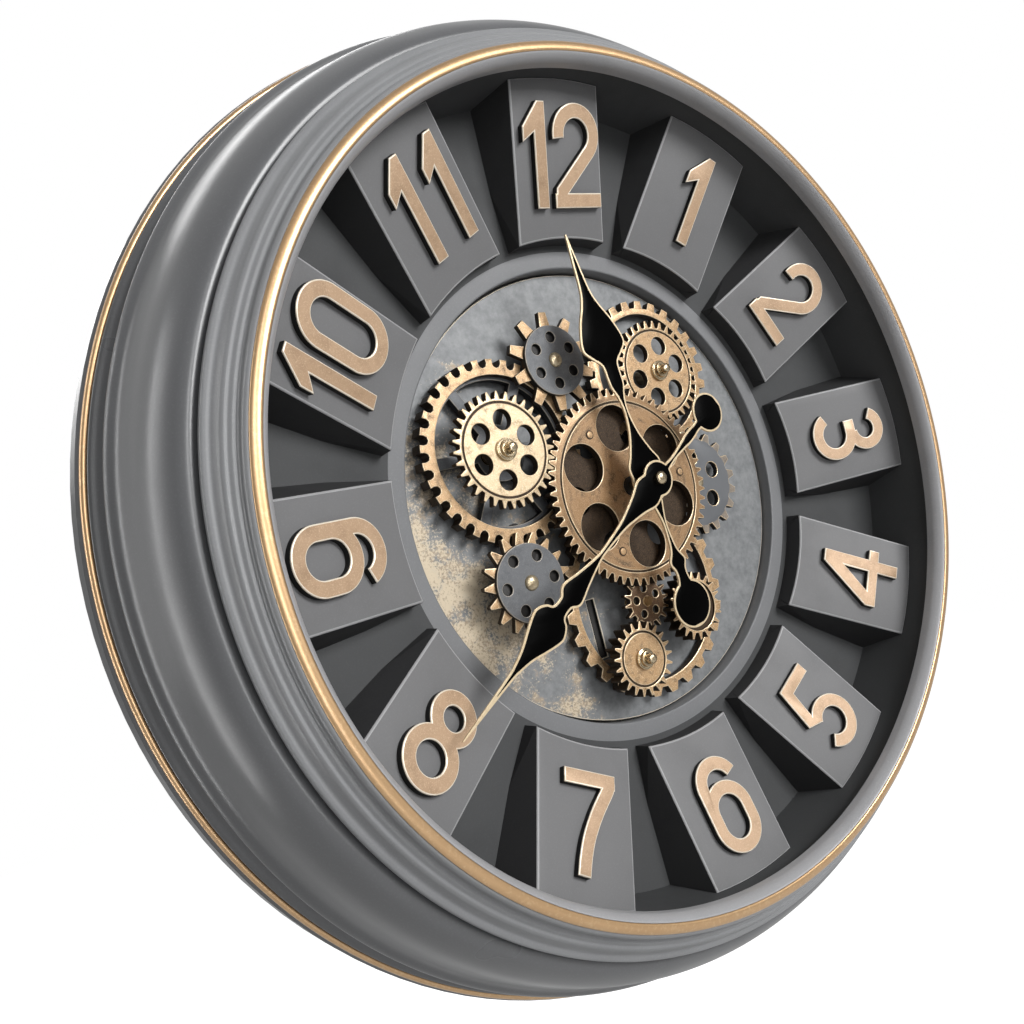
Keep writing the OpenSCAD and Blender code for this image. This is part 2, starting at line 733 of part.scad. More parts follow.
module left_ring_gear() {
  color("#b9936c") hang() at(left_ring_at, ring_gear_h - ring_skirt_h) difference() {
    linear_extrude(ring_skirt_h + ring_gear_t)
      polygon(gullet_outline(left_ring_teeth, left_ring_r, gullet_r));
    translate([0, 0, -over]) cylinder(r = left_ring_in_r, h = ring_gear_t + 2 * ring_skirt_h);
    translate([0, 0, -over]) cylinder(r = left_rim_out_r + pass_gap, h = ring_skirt_h + over);
  }
}

module left_spoke_wheel() {
  away = left_at - left_ring_at;
  color("#66686a") hang() at(left_ring_at, ring_gear_h - spoke_t) difference() {
    linear_extrude(spoke_t) union() {
      difference() {
        circle(left_rim_out_r);
        circle(left_rim_in_r);
      }
      circle(left_hub_r);
      for (k = [0 : spoke_count - 1]) rotate(k * 360 / spoke_count)
        translate([0, -spoke_w / 2]) square([left_rim_in_r + spoke_lap, spoke_w]);
    }
    translate([away[0], away[1], -over])
      cylinder(r = stud_shoulder_r + pass_gap, h = spoke_t + 2 * over);
  }
}

module upper_ring_gear() {
  color("#a98a68") hang() at(upper_at, low_ring_h) linear_extrude(low_ring_t) difference() {
    polygon(star_outline(upper_ring_teeth, upper_ring_r, upper_ring_r - ring_tooth_h,
      0.42, 0.62));
    circle(upper_ring_in_r);
  }
}

module lower_ring_gear() {
  color("#a98a68") hang() at(lower_ring_at, low_ring_h) linear_extrude(low_ring_t)
    rotate(lower_ring_turn) difference() {
      polygon(star_outline(lower_ring_teeth, lower_ring_r, lower_ring_r - ring_tooth_h,
        0.34, 0.66));
      circle(lower_ring_in_r);
      rotate(-lower_ring_turn) translate(-lower_ring_at)
        circle(sleeve_r + sleeve_step + sleeve_clear);
    }
}

lower_ring_turn = 6;
sleeve_clear = 0.6;
right_gear_lift = 0.5;
right_gear_h = low_ring_h + low_ring_t + right_gear_lift;
right_gear_t = 4;
right_hole_place_share = 0.474;
right_hole_share = 0.15;
right_holes = 5;
right_hole_dir = 70;
disc_holes = 6;

module right_fixed_gear() {
  color("#77787a") hang() at(right_gear_at, right_gear_h) linear_extrude(right_gear_t)
    difference() {
      polygon(star_outline(right_gear_teeth, right_gear_r, right_gear_r - right_tooth_h,
        0.3, 0.7));
      circle(rivet_r + run_gap, $fn = 32);
      for (k = [0 : right_holes - 1]) translate(dial(right_hole_place_share * right_gear_r,
        right_hole_dir + k * 360 / right_holes)) circle(right_hole_share * right_gear_r, $fn = 32);
    }
}

module top_left_gear() {
  color("#b9936c") hang() at(top_left_at, rear_gear_h) linear_extrude(rear_gear_t)
    rotate(88) difference() {
      polygon(star_outline(top_left_teeth, top_left_r, top_left_disc_r - disc_lap, 0.28, 0.62));
      circle(rivet_r + run_gap, $fn = 32);
    }
}

module bottom_left_gear() {
  color("#b9936c") hang() at(bottom_left_at, rear_gear_h) linear_extrude(rear_gear_t)
    rotate(4) difference() {
      polygon(star_outline(bottom_left_teeth, bottom_left_r,
        bottom_left_disc_r - disc_lap, 0.16, 0.84));
      circle(rivet_r + run_gap, $fn = 32);
    }
}

module holed_disc(r, place_share, hole_share, first) {
  linear_extrude(disc_t) difference() {
    circle(r);
    circle(rivet_r + run_gap, $fn = 32);
    for (k = [0 : disc_holes - 1])
      translate(dial(place_share * r, first + k * 360 / disc_holes))
      circle(hole_share * r, $fn = 32);
  }
}

module top_left_disc() {
  color("#6c6e70") hang() at(top_left_at, rear_gear_h + rear_gear_t)
    holed_disc(top_left_disc_r, 0.657, 0.155, 3);
}

module bottom_left_disc() {
  color("#6c6e70") hang() at(bottom_left_at, rear_gear_h + rear_gear_t)
    holed_disc(bottom_left_disc_r, 0.72, 0.147, 30);
}

// Rivet with a domed head, its head resting on z = 0
module rivet(shank) {
  rotate_extrude($fn = 48) polygon(concat([[0, -shank], [rivet_r, -shank], [rivet_r, 0],
    [rivet_head_r, 0]], [for (a = [10 : 10 : 80])
    [rivet_head_r * cos(a), rivet_head_h * sin(a)]], [[0, rivet_head_h]]));
}

star_top_h = rear_gear_h + rear_gear_t + disc_t;

module gear_rivets() {
  color("#b8a98c") hang() {
    at(top_left_at, star_top_h + seat_gap)
      rivet(star_top_h + seat_gap - rear_gear_h + rivet_sink);
    at(bottom_left_at, star_top_h + seat_gap)
      rivet(star_top_h + seat_gap - rear_gear_h + rivet_sink);
    at(right_gear_at, right_gear_h + right_gear_t + seat_gap)
      rivet(right_gear_t + seat_gap + rivet_sink);
  }
}

module post(h) {
  difference() {
    cylinder(r = post_r, h = h, $fn = 48);
    translate([0, 0, h - rivet_sink - pass_gap])
      cylinder(r = rivet_r + run_gap, h = rivet_sink + pass_gap + over, $fn = 32);
  }
}

module gear_standoffs() {
  color("#3a3a3a") hang() {
    at(top_left_at, 0) post(rear_gear_h);
    at(bottom_left_at, 0) post(rear_gear_h);
    at(right_gear_at, 0) post(right_gear_h);
    for (k = [0 : 2]) {
      at(left_ring_at + ray(left_rim_in_r + rim_lap, 30 + k * 120), 0)
        cylinder(r = standoff_r, h = ring_gear_h - spoke_t, $fn = 32);
      at(lower_ring_at + ray(lower_ring_in_r + foot_r, 20 + k * 120), 0)
        cylinder(r = foot_r, h = low_ring_h, $fn = 32);
      at(upper_at + ray(upper_ring_in_r + foot_r, 60 + k * 120), 0)
        cylinder(r = foot_r, h = low_ring_h, $fn = 32);
    }
  }
}

// Stud with a shoulder below its gear and a domed end above it
module stud(gear_h, t) {
  top = gear_h + t + stud_proud - stud_r / 2;
  rotate_extrude($fn = 48) polygon(concat([[0, 0], [stud_shoulder_r, 0],
    [stud_shoulder_r, gear_h - pass_gap], [stud_r, gear_h - pass_gap], [stud_r, top]],
    [for (a = [15 : 15 : 75]) [stud_r * cos(a), top + stud_r / 2 * sin(a)]],
    [[0, top + stud_r / 2]]));
}

module gear_studs() {
  color("#c8a35a") hang() {
    at(left_at, 0) stud(front_gear_h, gear_t);
    at(upper_at, 0) stud(rear_gear_h, rear_gear_t);
    at(lower_at, 0) stud(rear_gear_h, thick_gear_t);
    at(small_at, 0) stud(rear_gear_h, thick_gear_t);
  }
}

// Turning gears

module bored_gear(n, t, bore) {
  difference() {
    linear_extrude(t) polygon(gear_outline(n));
    translate([0, 0, -over]) cylinder(r = bore + run_gap, h = t + 2 * over);
    children();
  }
}

module face_groove(r, w, cut, t) {
  translate([0, 0, t - cut]) difference() {
    cylinder(r = r + w / 2, h = cut + over);
    translate([0, 0, -over]) cylinder(r = r - w / 2, h = cut + 3 * over);
  }
}

module face_holes(count, place, r, first, t) {
  for (k = [0 : count - 1]) translate(concat(dial(place, first + k * 360 / count), -over))
    cylinder(r = r, h = t + 2 * over, $fn = 48);
}

// Shares of the centre gear's pitch radius
centre_hole_place_share = 0.617;
centre_hole_share = 0.242;
groove_w = 1.3;
groove_cut = 0.8;
centre_groove_in = 4.4;
small_groove_in = 2;
rim_step_w = 3;
rim_step_cut = 1.6;

module centre_gear() {
  color("#b58d63") hang() at(centre_at, front_gear_h) rotate(centre_turn)
    bored_gear(centre_teeth, gear_t, sleeve_r) {
      face_holes(6, centre_hole_place_share * centre_pitch_r,
        centre_hole_share * centre_pitch_r, -2, gear_t);
      face_groove(root_r(centre_teeth) - centre_groove_in, groove_w, groove_cut, gear_t);
    }
}

drum_r_share = 0.36;

module rear_wheel() {
  color("#8a6642") hang() at(centre_at, rear_gear_h) rotate(rear_turn) {
    bored_gear(rear_teeth, rear_gear_t, sleeve_r)
      face_holes(6, 0.66 * rear_pitch_r, 0.16 * rear_pitch_r, 28, rear_gear_t);
    translate([0, 0, rear_gear_t]) difference() {
      cylinder(r = drum_r_share * rear_pitch_r,
        h = front_gear_h - rear_gear_h - rear_gear_t);
      translate([0, 0, -over]) cylinder(r = sleeve_r + run_gap,
        h = front_gear_h - rear_gear_h - rear_gear_t + 2 * over);
    }
  }
}

side_hole_place_share = 0.545;
side_hole_share = 0.19;

module six_hole_gear(turn, first, t) {
  rotate(turn) bored_gear(side_teeth, t, stud_r) {
    face_holes(6, side_hole_place_share * side_pitch_r, side_hole_share * side_pitch_r,
      first + turn, t);
    face_groove(root_r(side_teeth) - small_groove_in, groove_w, groove_cut, t);
  }
}

module left_gear() {
  color("#b58d63") hang() at(left_at, front_gear_h) six_hole_gear(left_turn, 10, gear_t);
}

module upper_right_gear() {
  color("#b58d63") hang() at(upper_at, rear_gear_h)
    six_hole_gear(upper_turn, 19, rear_gear_t);
}

module idler_gear() {
  color("#6b5138") hang() at(idler_at, rear_gear_h) rotate(idler_turn)
    bored_gear(idler_teeth, rear_gear_t, stud_r)
    face_holes(5, 0.53 * idler_pitch_r, 0.16 * idler_pitch_r, 0, rear_gear_t);
}

module lower_gear() {
  color("#b58d63") hang() at(lower_at, rear_gear_h) rotate(lower_turn)
    bored_gear(lower_teeth, thick_gear_t, stud_r)
    face_groove(root_r(lower_teeth) - small_groove_in, groove_w, groove_cut, thick_gear_t);
}

module small_gear() {
  color("#b58d63") hang() at(small_at, rear_gear_h) rotate(small_turn)
    bored_gear(small_teeth, thick_gear_t, stud_r)
    face_groove((root_r(small_teeth) + hub_flange_r) / 2,
      root_r(small_teeth) - hub_flange_r - rim_step_w, rim_step_cut, thick_gear_t);
}

// Stepped brass hub on a gear's face
module gear_hub(place, gear_h, t) {
  color("#c8a35a") hang() at(place, gear_h + t + seat_gap) difference() {
    union() {
      cylinder(r = hub_flange_r, h = hub_flange_t, $fn = 48);
      cylinder(r = hub_collar_r, h = hub_flange_t + hub_collar_t, $fn = 48);
    }
    translate([0, 0, -over])
      cylinder(r = stud_r + run_gap, h = hub_flange_t + hub_collar_t + 2 * over, $fn = 48);
  }
}

module left_gear_hub() {
  gear_hub(left_at, front_gear_h, gear_t);
}

module upper_gear_hub() {
  gear_hub(upper_at, rear_gear_h, rear_gear_t);
}

module lower_gear_hub() {
  gear_hub(lower_at, rear_gear_h, thick_gear_t);
}

module small_gear_hub() {
  gear_hub(small_at, rear_gear_h, thick_gear_t);
}

neck_h = 6;
sleeve_flange_r = 14;
sleeve_flange_t = 2.5;
sleeve_step = 3;

module centre_sleeve() {
  bore = hour_tube_r + run_gap;
  color("#8d8a80") hang() at(centre_at, 0) difference() {
    union() {
      cylinder(r = sleeve_flange_r, h = sleeve_flange_t);
      cylinder(r = sleeve_r + sleeve_step, h = rear_gear_h - pass_gap);
      cylinder(r = sleeve_r, h = sleeve_h);
    }
    translate([0, 0, -over]) cylinder(r = bore, h = sleeve_h + 2 * over);
    translate([0, 0, -over]) cylinder(r = neck_r + run_gap, h = neck_h + seat_gap + over);
  }
}

// Shaft of the gear motor with its last wheel inside the case
module drive_shaft() {
  color("#c8a35a") hang() at(idler_at, works_h - shaft_bite) {
    cylinder(r = stud_r,
      h = shaft_bite - works_h + rear_gear_h + rear_gear_t + shaft_proud, $fn = 48);
    cylinder(r = shaft_wheel_r, h = shaft_wheel_t);
  }
}

shaft_bite = 6;
shaft_proud = 1.5;
shaft_wheel_r = 8;
shaft_wheel_t = 2;

// Hands

// Half widths of the minute hand along its length, as shares of the length
minute_half_shares = [[1, 0.002], [0.8, 0.009], [0.757, 0.014], [0.71, 0.025],
  [0.66, 0.045], [0.612, 0.061], [0.588, 0.058], [0.566, 0.044], [0.552, 0.0255],
  [0.52, 0.0235], [0.504, 0.035], [0.49, 0.041], [0.47, 0.039], [0.42, 0.0255],
  [0.345, 0.0105], [0.3, 0.009], [0.218, 0.013], [0.17, 0.0215], [0.117, 0.035],
  [0.07, 0.051], [0.03, 0.045]];
minute_tail_shares = [[-0.045, 0.013], [-0.097, 0.0085], [-0.16, 0.0135],
  [-0.185, 0.017], [-0.215, 0.017], [-0.24, 0.0145], [-0.262, 0.0165]];
minute_hub_share = 0.056;
minute_disc_share = 0.063;
minute_disc_at_share = -0.318;
// The same for the hour hand
hour_half_shares = [[1, 0.003], [0.9, 0.013], [0.78, 0.025], [0.72, 0.045],
  [0.66, 0.078], [0.6, 0.102], [0.565, 0.11], [0.54, 0.105], [0.51, 0.075],
  [0.478, 0.042], [0.43, 0.038], [0.39, 0.035], [0.34, 0.017], [0.28, 0.0115],
  [0.2, 0.025], [0.12, 0.058], [0.07, 0.085], [0.02, 0.08]];
hour_tail_shares = [[-0.09, 0.028], [-0.17, 0.0105], [-0.24, 0.012], [-0.29, 0.02],
  [-0.335, 0.043], [-0.37, 0.03], [-0.4, 0.029], [-0.425, 0.036]];
hour_hub_share = 0.088;
hour_disc_share = 0.097;
hour_disc_at_share = -0.515;

// Both sides of a hand's blade or tail
function blade(shares, len) = let (p = curve([for (s = shares) s * len], 5))
  concat([for (q = p) [q[1], q[0]]], reversed([for (q = p) [-q[1], q[0]]]));

module hand_shape(half_shares, tail_shares, len, hub, disc, disc_at) {
  polygon(blade(half_shares, len));
  polygon(blade(tail_shares, len));
  translate([-tail_shares[0][1] * len, tail_shares[0][0] * len])
    square([2 * tail_shares[0][1] * len, -tail_shares[0][0] * len]);
  circle(hub * len);
  translate([0, disc_at * len]) circle(disc * len);
}

module hand(angle, h, bore, half_shares, tail_shares, len, hub, disc, disc_at) {
  hang() at(centre_at, h) rotate(-angle) difference() {
    union() {
      linear_extrude(hand_t)
        hand_shape(half_shares, tail_shares, len, hub, disc, disc_at);
      translate([0, 0, -collet_h])
        cylinder(r = bore * collet_r_share, h = collet_h + hand_t / 2, $fn = 48);
    }
    translate([0, 0, -collet_h - over])
      cylinder(r = bore + run_gap, h = collet_h + hand_t + 2 * over, $fn = 48);
  }
}

module hour_hand() {
  color("#121212") hand(hour_angle, hour_h, hour_tube_r, hour_half_shares,
    hour_tail_shares, hour_len, hour_hub_share, hour_disc_share, hour_disc_at_share);
}

module minute_hand() {
  color("#121212") hand(minute_angle, minute_h, minute_shaft_r, minute_half_shares,
    minute_tail_shares, minute_len, minute_hub_share, minute_disc_share,
    minute_disc_at_share);
}

module hand_cap() {
  color("#d8b86a") hang() at(centre_at, minute_top + seat_gap) difference() {
    rotate_extrude($fn = 48) polygon(concat([[0, 0], [cap_r, 0], [cap_r, cap_h / 2]],
      [for (a = [15 : 15 : 75]) [cap_r * cos(a), cap_h / 2 * (1 + sin(a))]],
      [[0, cap_h]]));
    translate([0, 0, -over]) cylinder(r = minute_shaft_r + run_gap, h = cap_h / 2 + over,
      $fn = 32);
  }
}

// Tube that turns the hour hand, with its wheel inside the movement
module hour_tube() {
  foot = works_h - case_wall - pass_gap - wheel_t;
  color("#b8a468") hang() at(centre_at, foot) difference() {
    union() {
      cylinder(r = hour_tube_r, h = hour_tube_top - foot, $fn = 48);
      cylinder(r = hour_wheel_r, h = wheel_t);
    }
    translate([0, 0, -over]) cylinder(r = minute_shaft_r + run_gap,
      h = hour_tube_top - foot + 2 * over, $fn = 32);
  }
}

// Small toothed wheel inside the movement
module small_wheel(turn) {
  linear_extrude(wheel_t) rotate(turn) polygon(gear_outline(wheel_teeth, wheel_m));
}

module minute_shaft() {
  color("#b8a468") hang() at(centre_at, wheel_h) {
    cylinder(r = minute_shaft_r, h = minute_top + cap_h / 2 - wheel_h, $fn = 32);
    small_wheel(0);
  }
}

wheel_m = 0.5;
wheel_teeth = 34;
wheel_t = 1.5;
wheel_step = 2.5;
hour_wheel_r = 8;
wheel_h = works_h - case_wall - pass_gap - 2 * wheel_t - wheel_step;

// Works behind the plate

cell_at_y = -movement_w / 2 + case_wall + pass_gap + cell_r;
knob_dir = 135;
knob_at = ray(wheel_m * wheel_teeth, knob_dir);
knob_shaft_r = 1.5;

module battery_bay(w, l, depth) {
  translate([-w / 2, -l / 2, -depth]) cube([w, l, depth + over]);
}

bay_w = cell_l + 2 * pass_gap;
bay_l = 2 * (cell_r + pass_gap);

module movement_case() {
  color("#1c1c1c") hang() at(centre_at, works_h - movement_t) difference() {
    union() {
      translate([-movement_w / 2, -movement_w / 2]) cube([movement_w, movement_w, movement_t]);
      cylinder(r = neck_r, h = movement_t - works_h + neck_h);
    }
    translate([0, 0, movement_t - case_wall])
      cylinder(r = hour_tube_r + run_gap, h = case_wall - works_h + neck_h + over);
    translate([case_wall - movement_w / 2, cell_at_y + cell_r + pass_gap + case_wall, -over])
      cube([movement_w - 2 * case_wall, movement_w / 2 - case_wall - cell_at_y - cell_r
        - pass_gap - case_wall, movement_t - case_wall + over]);
    translate([-bay_w / 2, cell_at_y - bay_l / 2, -over])
      cube([bay_w, bay_l, movement_t - case_wall / 2 + over]);
  }
}

module movement_cover() {
  top = cell_at_y + cell_r + pass_gap;
  color("#262626") hang() at(centre_at, movement_back_h) difference() {
    translate([-movement_w / 2, top]) cube([movement_w, movement_w / 2 - top, cover_t]);
    translate([knob_at[0], knob_at[1], -over])
      cylinder(r = knob_shaft_r + run_gap, h = cover_t + 2 * over, $fn = 32);
  }
}

knob_t = 4;

module set_knob() {
  color("#d9d9d4") hang() at(knob_at, movement_back_h) {
    translate([0, 0, -pass_gap - knob_t]) cylinder(r = knob_r, h = knob_t, $fn = 48);
    translate([0, 0, -pass_gap]) cylinder(r = knob_shaft_r,
      h = pass_gap + wheel_h + wheel_t - movement_back_h, $fn = 32);
    translate([0, 0, wheel_h - movement_back_h])
      small_wheel(mesh_turn(wheel_teeth, 0, wheel_teeth, knob_dir));
  }
}

// Cell lying across the case, its axis along X
module cell() {
  rotate([0, 90, 0]) translate([0, 0, -cell_l / 2]) {
    cylinder(r = cell_r, h = cell_l - cell_nub, $fn = 48);
    cylinder(r = cell_r * cell_nub_share, h = cell_l, $fn = 32);
  }
}

cell_nub = 1.5;
cell_nub_share = 0.38;
shaft_in = 12;
motor_at = [idler_at[0], idler_at[1] - motor_l / 2 + shaft_in];
motor_cell_y = -motor_l / 2 + case_wall + pass_gap + cell_r;
motor_cell_step = 2 * (cell_r + pass_gap) + case_wall;

module batteries() {
  color("#b98a3a") hang() {
    at([0, cell_at_y], works_h - case_wall / 2 - seat_gap - cell_r) cell();
    for (k = [0, 1])
      at(motor_at + [0, motor_cell_y + k * motor_cell_step],
        works_h - case_wall - seat_gap - cell_r) cell();
  }
}

switch_in = 24;
switch_at = [-motor_w / 4, motor_l / 2 - switch_in];
switch_w = 5;
switch_l = 5;
switch_proud = 1.2;
slider_t = 2;

module gear_motor_case() {
  top = motor_cell_y + motor_cell_step + cell_r + pass_gap + case_wall;
  color("#1c1c1c") hang() at(motor_at, works_h - motor_t) difference() {
    translate([-motor_w / 2, -motor_l / 2]) cube([motor_w, motor_l, motor_t]);
    for (k = [0, 1]) translate([-bay_w / 2, motor_cell_y + k * motor_cell_step - bay_l / 2,
      -over]) cube([bay_w, bay_l, motor_t - case_wall + over]);
    translate([case_wall - motor_w / 2, top, case_wall]) cube([motor_w - 2 * case_wall,
      motor_l / 2 - case_wall - top, motor_t - 2 * case_wall]);
    translate([switch_at[0] - switch_w / 2 - pass_gap,
      switch_at[1] - switch_l / 2 - switch_travel / 2 - pass_gap, -over])
      cube([switch_w + 2 * pass_gap, switch_l + switch_travel + 2 * pass_gap,
        case_wall + 2 * over]);
    translate([0, idler_at[1] - motor_at[1], motor_t - case_wall - over])
      cylinder(r = stud_r + run_gap, h = case_wall + 2 * over, $fn = 48);
  }
}

module motor_switch() {
  color("#d9d9d4") hang() at(motor_at + switch_at - [0, switch_travel / 2],
    works_h - motor_t) {
    translate([-switch_w / 2, -switch_l / 2, -switch_proud])
      cube([switch_w, switch_l, switch_proud + case_wall + seat_gap]);
    translate([-switch_w, -switch_l, case_wall + seat_gap])
      cube([2 * switch_w, 2 * switch_l, slider_t]);
  }
}

// Back panel with bosses that reach the board behind the gear plate

boss_count = 6;
boss_r = 6;
boss_in = 1;
boss_place_r = backer_r - boss_r - boss_in;
access_up = -45;
panel_slot_w = 26;

module back_panel() {
  boss_h = panel_front_depth - backer_back_depth - seat_gap;
  color("#2e2c2a") hang() difference() {
    union() {
      translate([0, 0, z_of(panel_front_depth + panel_t)])
        cylinder(r = panel_r, h = panel_t, $fn = 180);
      for (k = [0 : boss_count - 1]) translate(concat(
        dial(boss_place_r, (k + 0.5) * 360 / boss_count), z_of(panel_front_depth)))
        cylinder(r = boss_r, h = boss_h, $fn = 48);
    }
    translate([-access_w / 2, access_up - access_h / 2, z_of(shell_depth)])
      cube([access_w, access_h, shell_depth - panel_front_depth + over / 2]);
    translate([-panel_slot_w / 2, hanger_up - keyhole_r * 2, z_of(shell_depth)])
      cube([panel_slot_w, hanger_l * 0.75, shell_depth - panel_front_depth + over / 2]);
    rim_screw_places() translate([0, 0, -panel_t - over])
      cylinder(r = screw_r + run_gap, h = panel_t + 2 * over);
    hanger_screw_places() translate([0, 0, -over])
      cylinder(r = screw_r + run_gap, h = panel_t + 2 * over);
  }
}

// Middle of each hanger screw on the back face of the panel
module hanger_screw_places() {
  for (s = [-1, 1]) translate([s * (hanger_w / 2 - hanger_screw_in), hanger_up,
    z_of(panel_front_depth + panel_t)]) children();
}

hanger_screw_in = 8;
hanger_up = casing_r - hanger_down;

module hanger_plate() {
  slot_up = 8;
  color("#9a9a96") hang() difference() {
    translate([-hanger_w / 2, hanger_up - hanger_l * 0.45,
      z_of(panel_front_depth + panel_t + seat_gap / 2) - hanger_t + seat_gap / 2])
      cube([hanger_w, hanger_l, hanger_t - seat_gap / 2]);
    translate([0, hanger_up, z_of(shell_depth) - over]) {
      cylinder(r = keyhole_r, h = hanger_t + 2 * over);
      translate([0, slot_up, 0]) cylinder(r = keyslot_r, h = hanger_t + 2 * over);
      translate([-keyslot_r, 0, 0]) cube([2 * keyslot_r, slot_up, hanger_t + 2 * over]);
    }
    hanger_screw_places() translate([0, 0, -hanger_t - over])
      cylinder(r = screw_r + run_gap, h = hanger_t + 2 * over);
  }
}

screw_head_t = 1.5;
screw_head_share = 1.9;

// Round-head screw, its head resting on z = 0 from below
module screw(shank) {
  translate([0, 0, -screw_head_t])
    cylinder(r = screw_r * screw_head_share, h = screw_head_t, $fn = 32);
  cylinder(r = screw_r, h = shank, $fn = 32);
}

module back_screws() {
  color("#8f8f8c") hang() {
    rim_screw_places() translate([0, 0, -panel_t - seat_gap])
      screw(panel_t + seat_gap + panel_screw_bite - pass_gap);
    hanger_screw_places() translate([0, 0, -hanger_t + seat_gap])
      cylinder(r = screw_r, h = panel_t + hanger_t - pass_gap, $fn = 32);
  }
}

casing_drum();
front_bezel();
front_bead();
rear_bead();
rear_ring();
dial_dish();
numeral_blocks();
numeral(1);  // numeral_1
numeral(2);  // numeral_2
numeral(3);  // numeral_3
numeral(4);  // numeral_4
numeral(5);  // numeral_5
numeral(6);  // numeral_6
numeral(7);  // numeral_7
numeral(8);  // numeral_8
numeral(9);  // numeral_9
numeral(10);  // numeral_10
numeral(11);  // numeral_11
numeral(12);  // numeral_12
gear_plate();
plate_backer();
left_ring_gear();
left_spoke_wheel();
upper_ring_gear();
lower_ring_gear();
right_fixed_gear();
top_left_gear();
top_left_disc();
bottom_left_gear();
bottom_left_disc();
gear_rivets();
gear_standoffs();
gear_studs();
left_gear_hub();
upper_gear_hub();
lower_gear_hub();
small_gear_hub();
centre_sleeve();
centre_gear();
rear_wheel();
left_gear();
upper_right_gear();
idler_gear();
lower_gear();
small_gear();
drive_shaft();
hour_hand();
minute_hand();
hand_cap();
hour_tube();
minute_shaft();
movement_case();
movement_cover();
set_knob();
batteries();
gear_motor_case();
motor_switch();
back_panel();
hanger_plate();
back_screws();
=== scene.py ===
import math

import bpy
from mathutils import Matrix, Vector


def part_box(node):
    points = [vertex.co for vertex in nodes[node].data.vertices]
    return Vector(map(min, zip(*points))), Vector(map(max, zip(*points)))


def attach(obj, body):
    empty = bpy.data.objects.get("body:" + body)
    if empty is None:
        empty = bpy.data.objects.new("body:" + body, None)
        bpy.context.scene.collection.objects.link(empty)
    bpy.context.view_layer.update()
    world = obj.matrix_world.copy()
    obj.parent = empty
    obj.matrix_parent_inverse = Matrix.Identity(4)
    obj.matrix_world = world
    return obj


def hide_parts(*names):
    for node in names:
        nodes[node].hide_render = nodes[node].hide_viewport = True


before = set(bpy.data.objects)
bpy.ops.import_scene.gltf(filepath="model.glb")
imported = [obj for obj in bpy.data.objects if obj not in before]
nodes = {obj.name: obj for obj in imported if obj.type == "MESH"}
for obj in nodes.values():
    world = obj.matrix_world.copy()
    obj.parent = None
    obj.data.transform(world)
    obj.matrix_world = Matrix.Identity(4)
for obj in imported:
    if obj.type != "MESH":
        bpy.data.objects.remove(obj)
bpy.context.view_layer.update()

scene = bpy.context.scene
mm = 0.001


def toLinear(hexText):
    parts = [int(hexText[i:i + 2], 16) / 255 for i in (1, 3, 5)]
    return [p / 12.92 if p <= 0.04045 else ((p + 0.055) / 1.055) ** 2.4 for p in parts] + [1]


def addNode(tree, kind, values=None, links=None, **settings):
    node = tree.nodes.new("ShaderNode" + kind)
    for key, value in settings.items():
        setattr(node, key, value)
    for key, value in (values or {}).items():
        node.inputs[key].default_value = value
    for key, socket in (links or {}).items():
        tree.links.new(socket, node.inputs[key])
    return node


def deselectAll():
    if bpy.context.object and bpy.context.object.mode != "OBJECT":
        bpy.ops.object.mode_set(mode="OBJECT")
    bpy.ops.object.select_all(action="DESELECT")


def pickOnly(piece):
    deselectAll()
    piece.select_set(True)
    bpy.context.view_layer.objects.active = piece


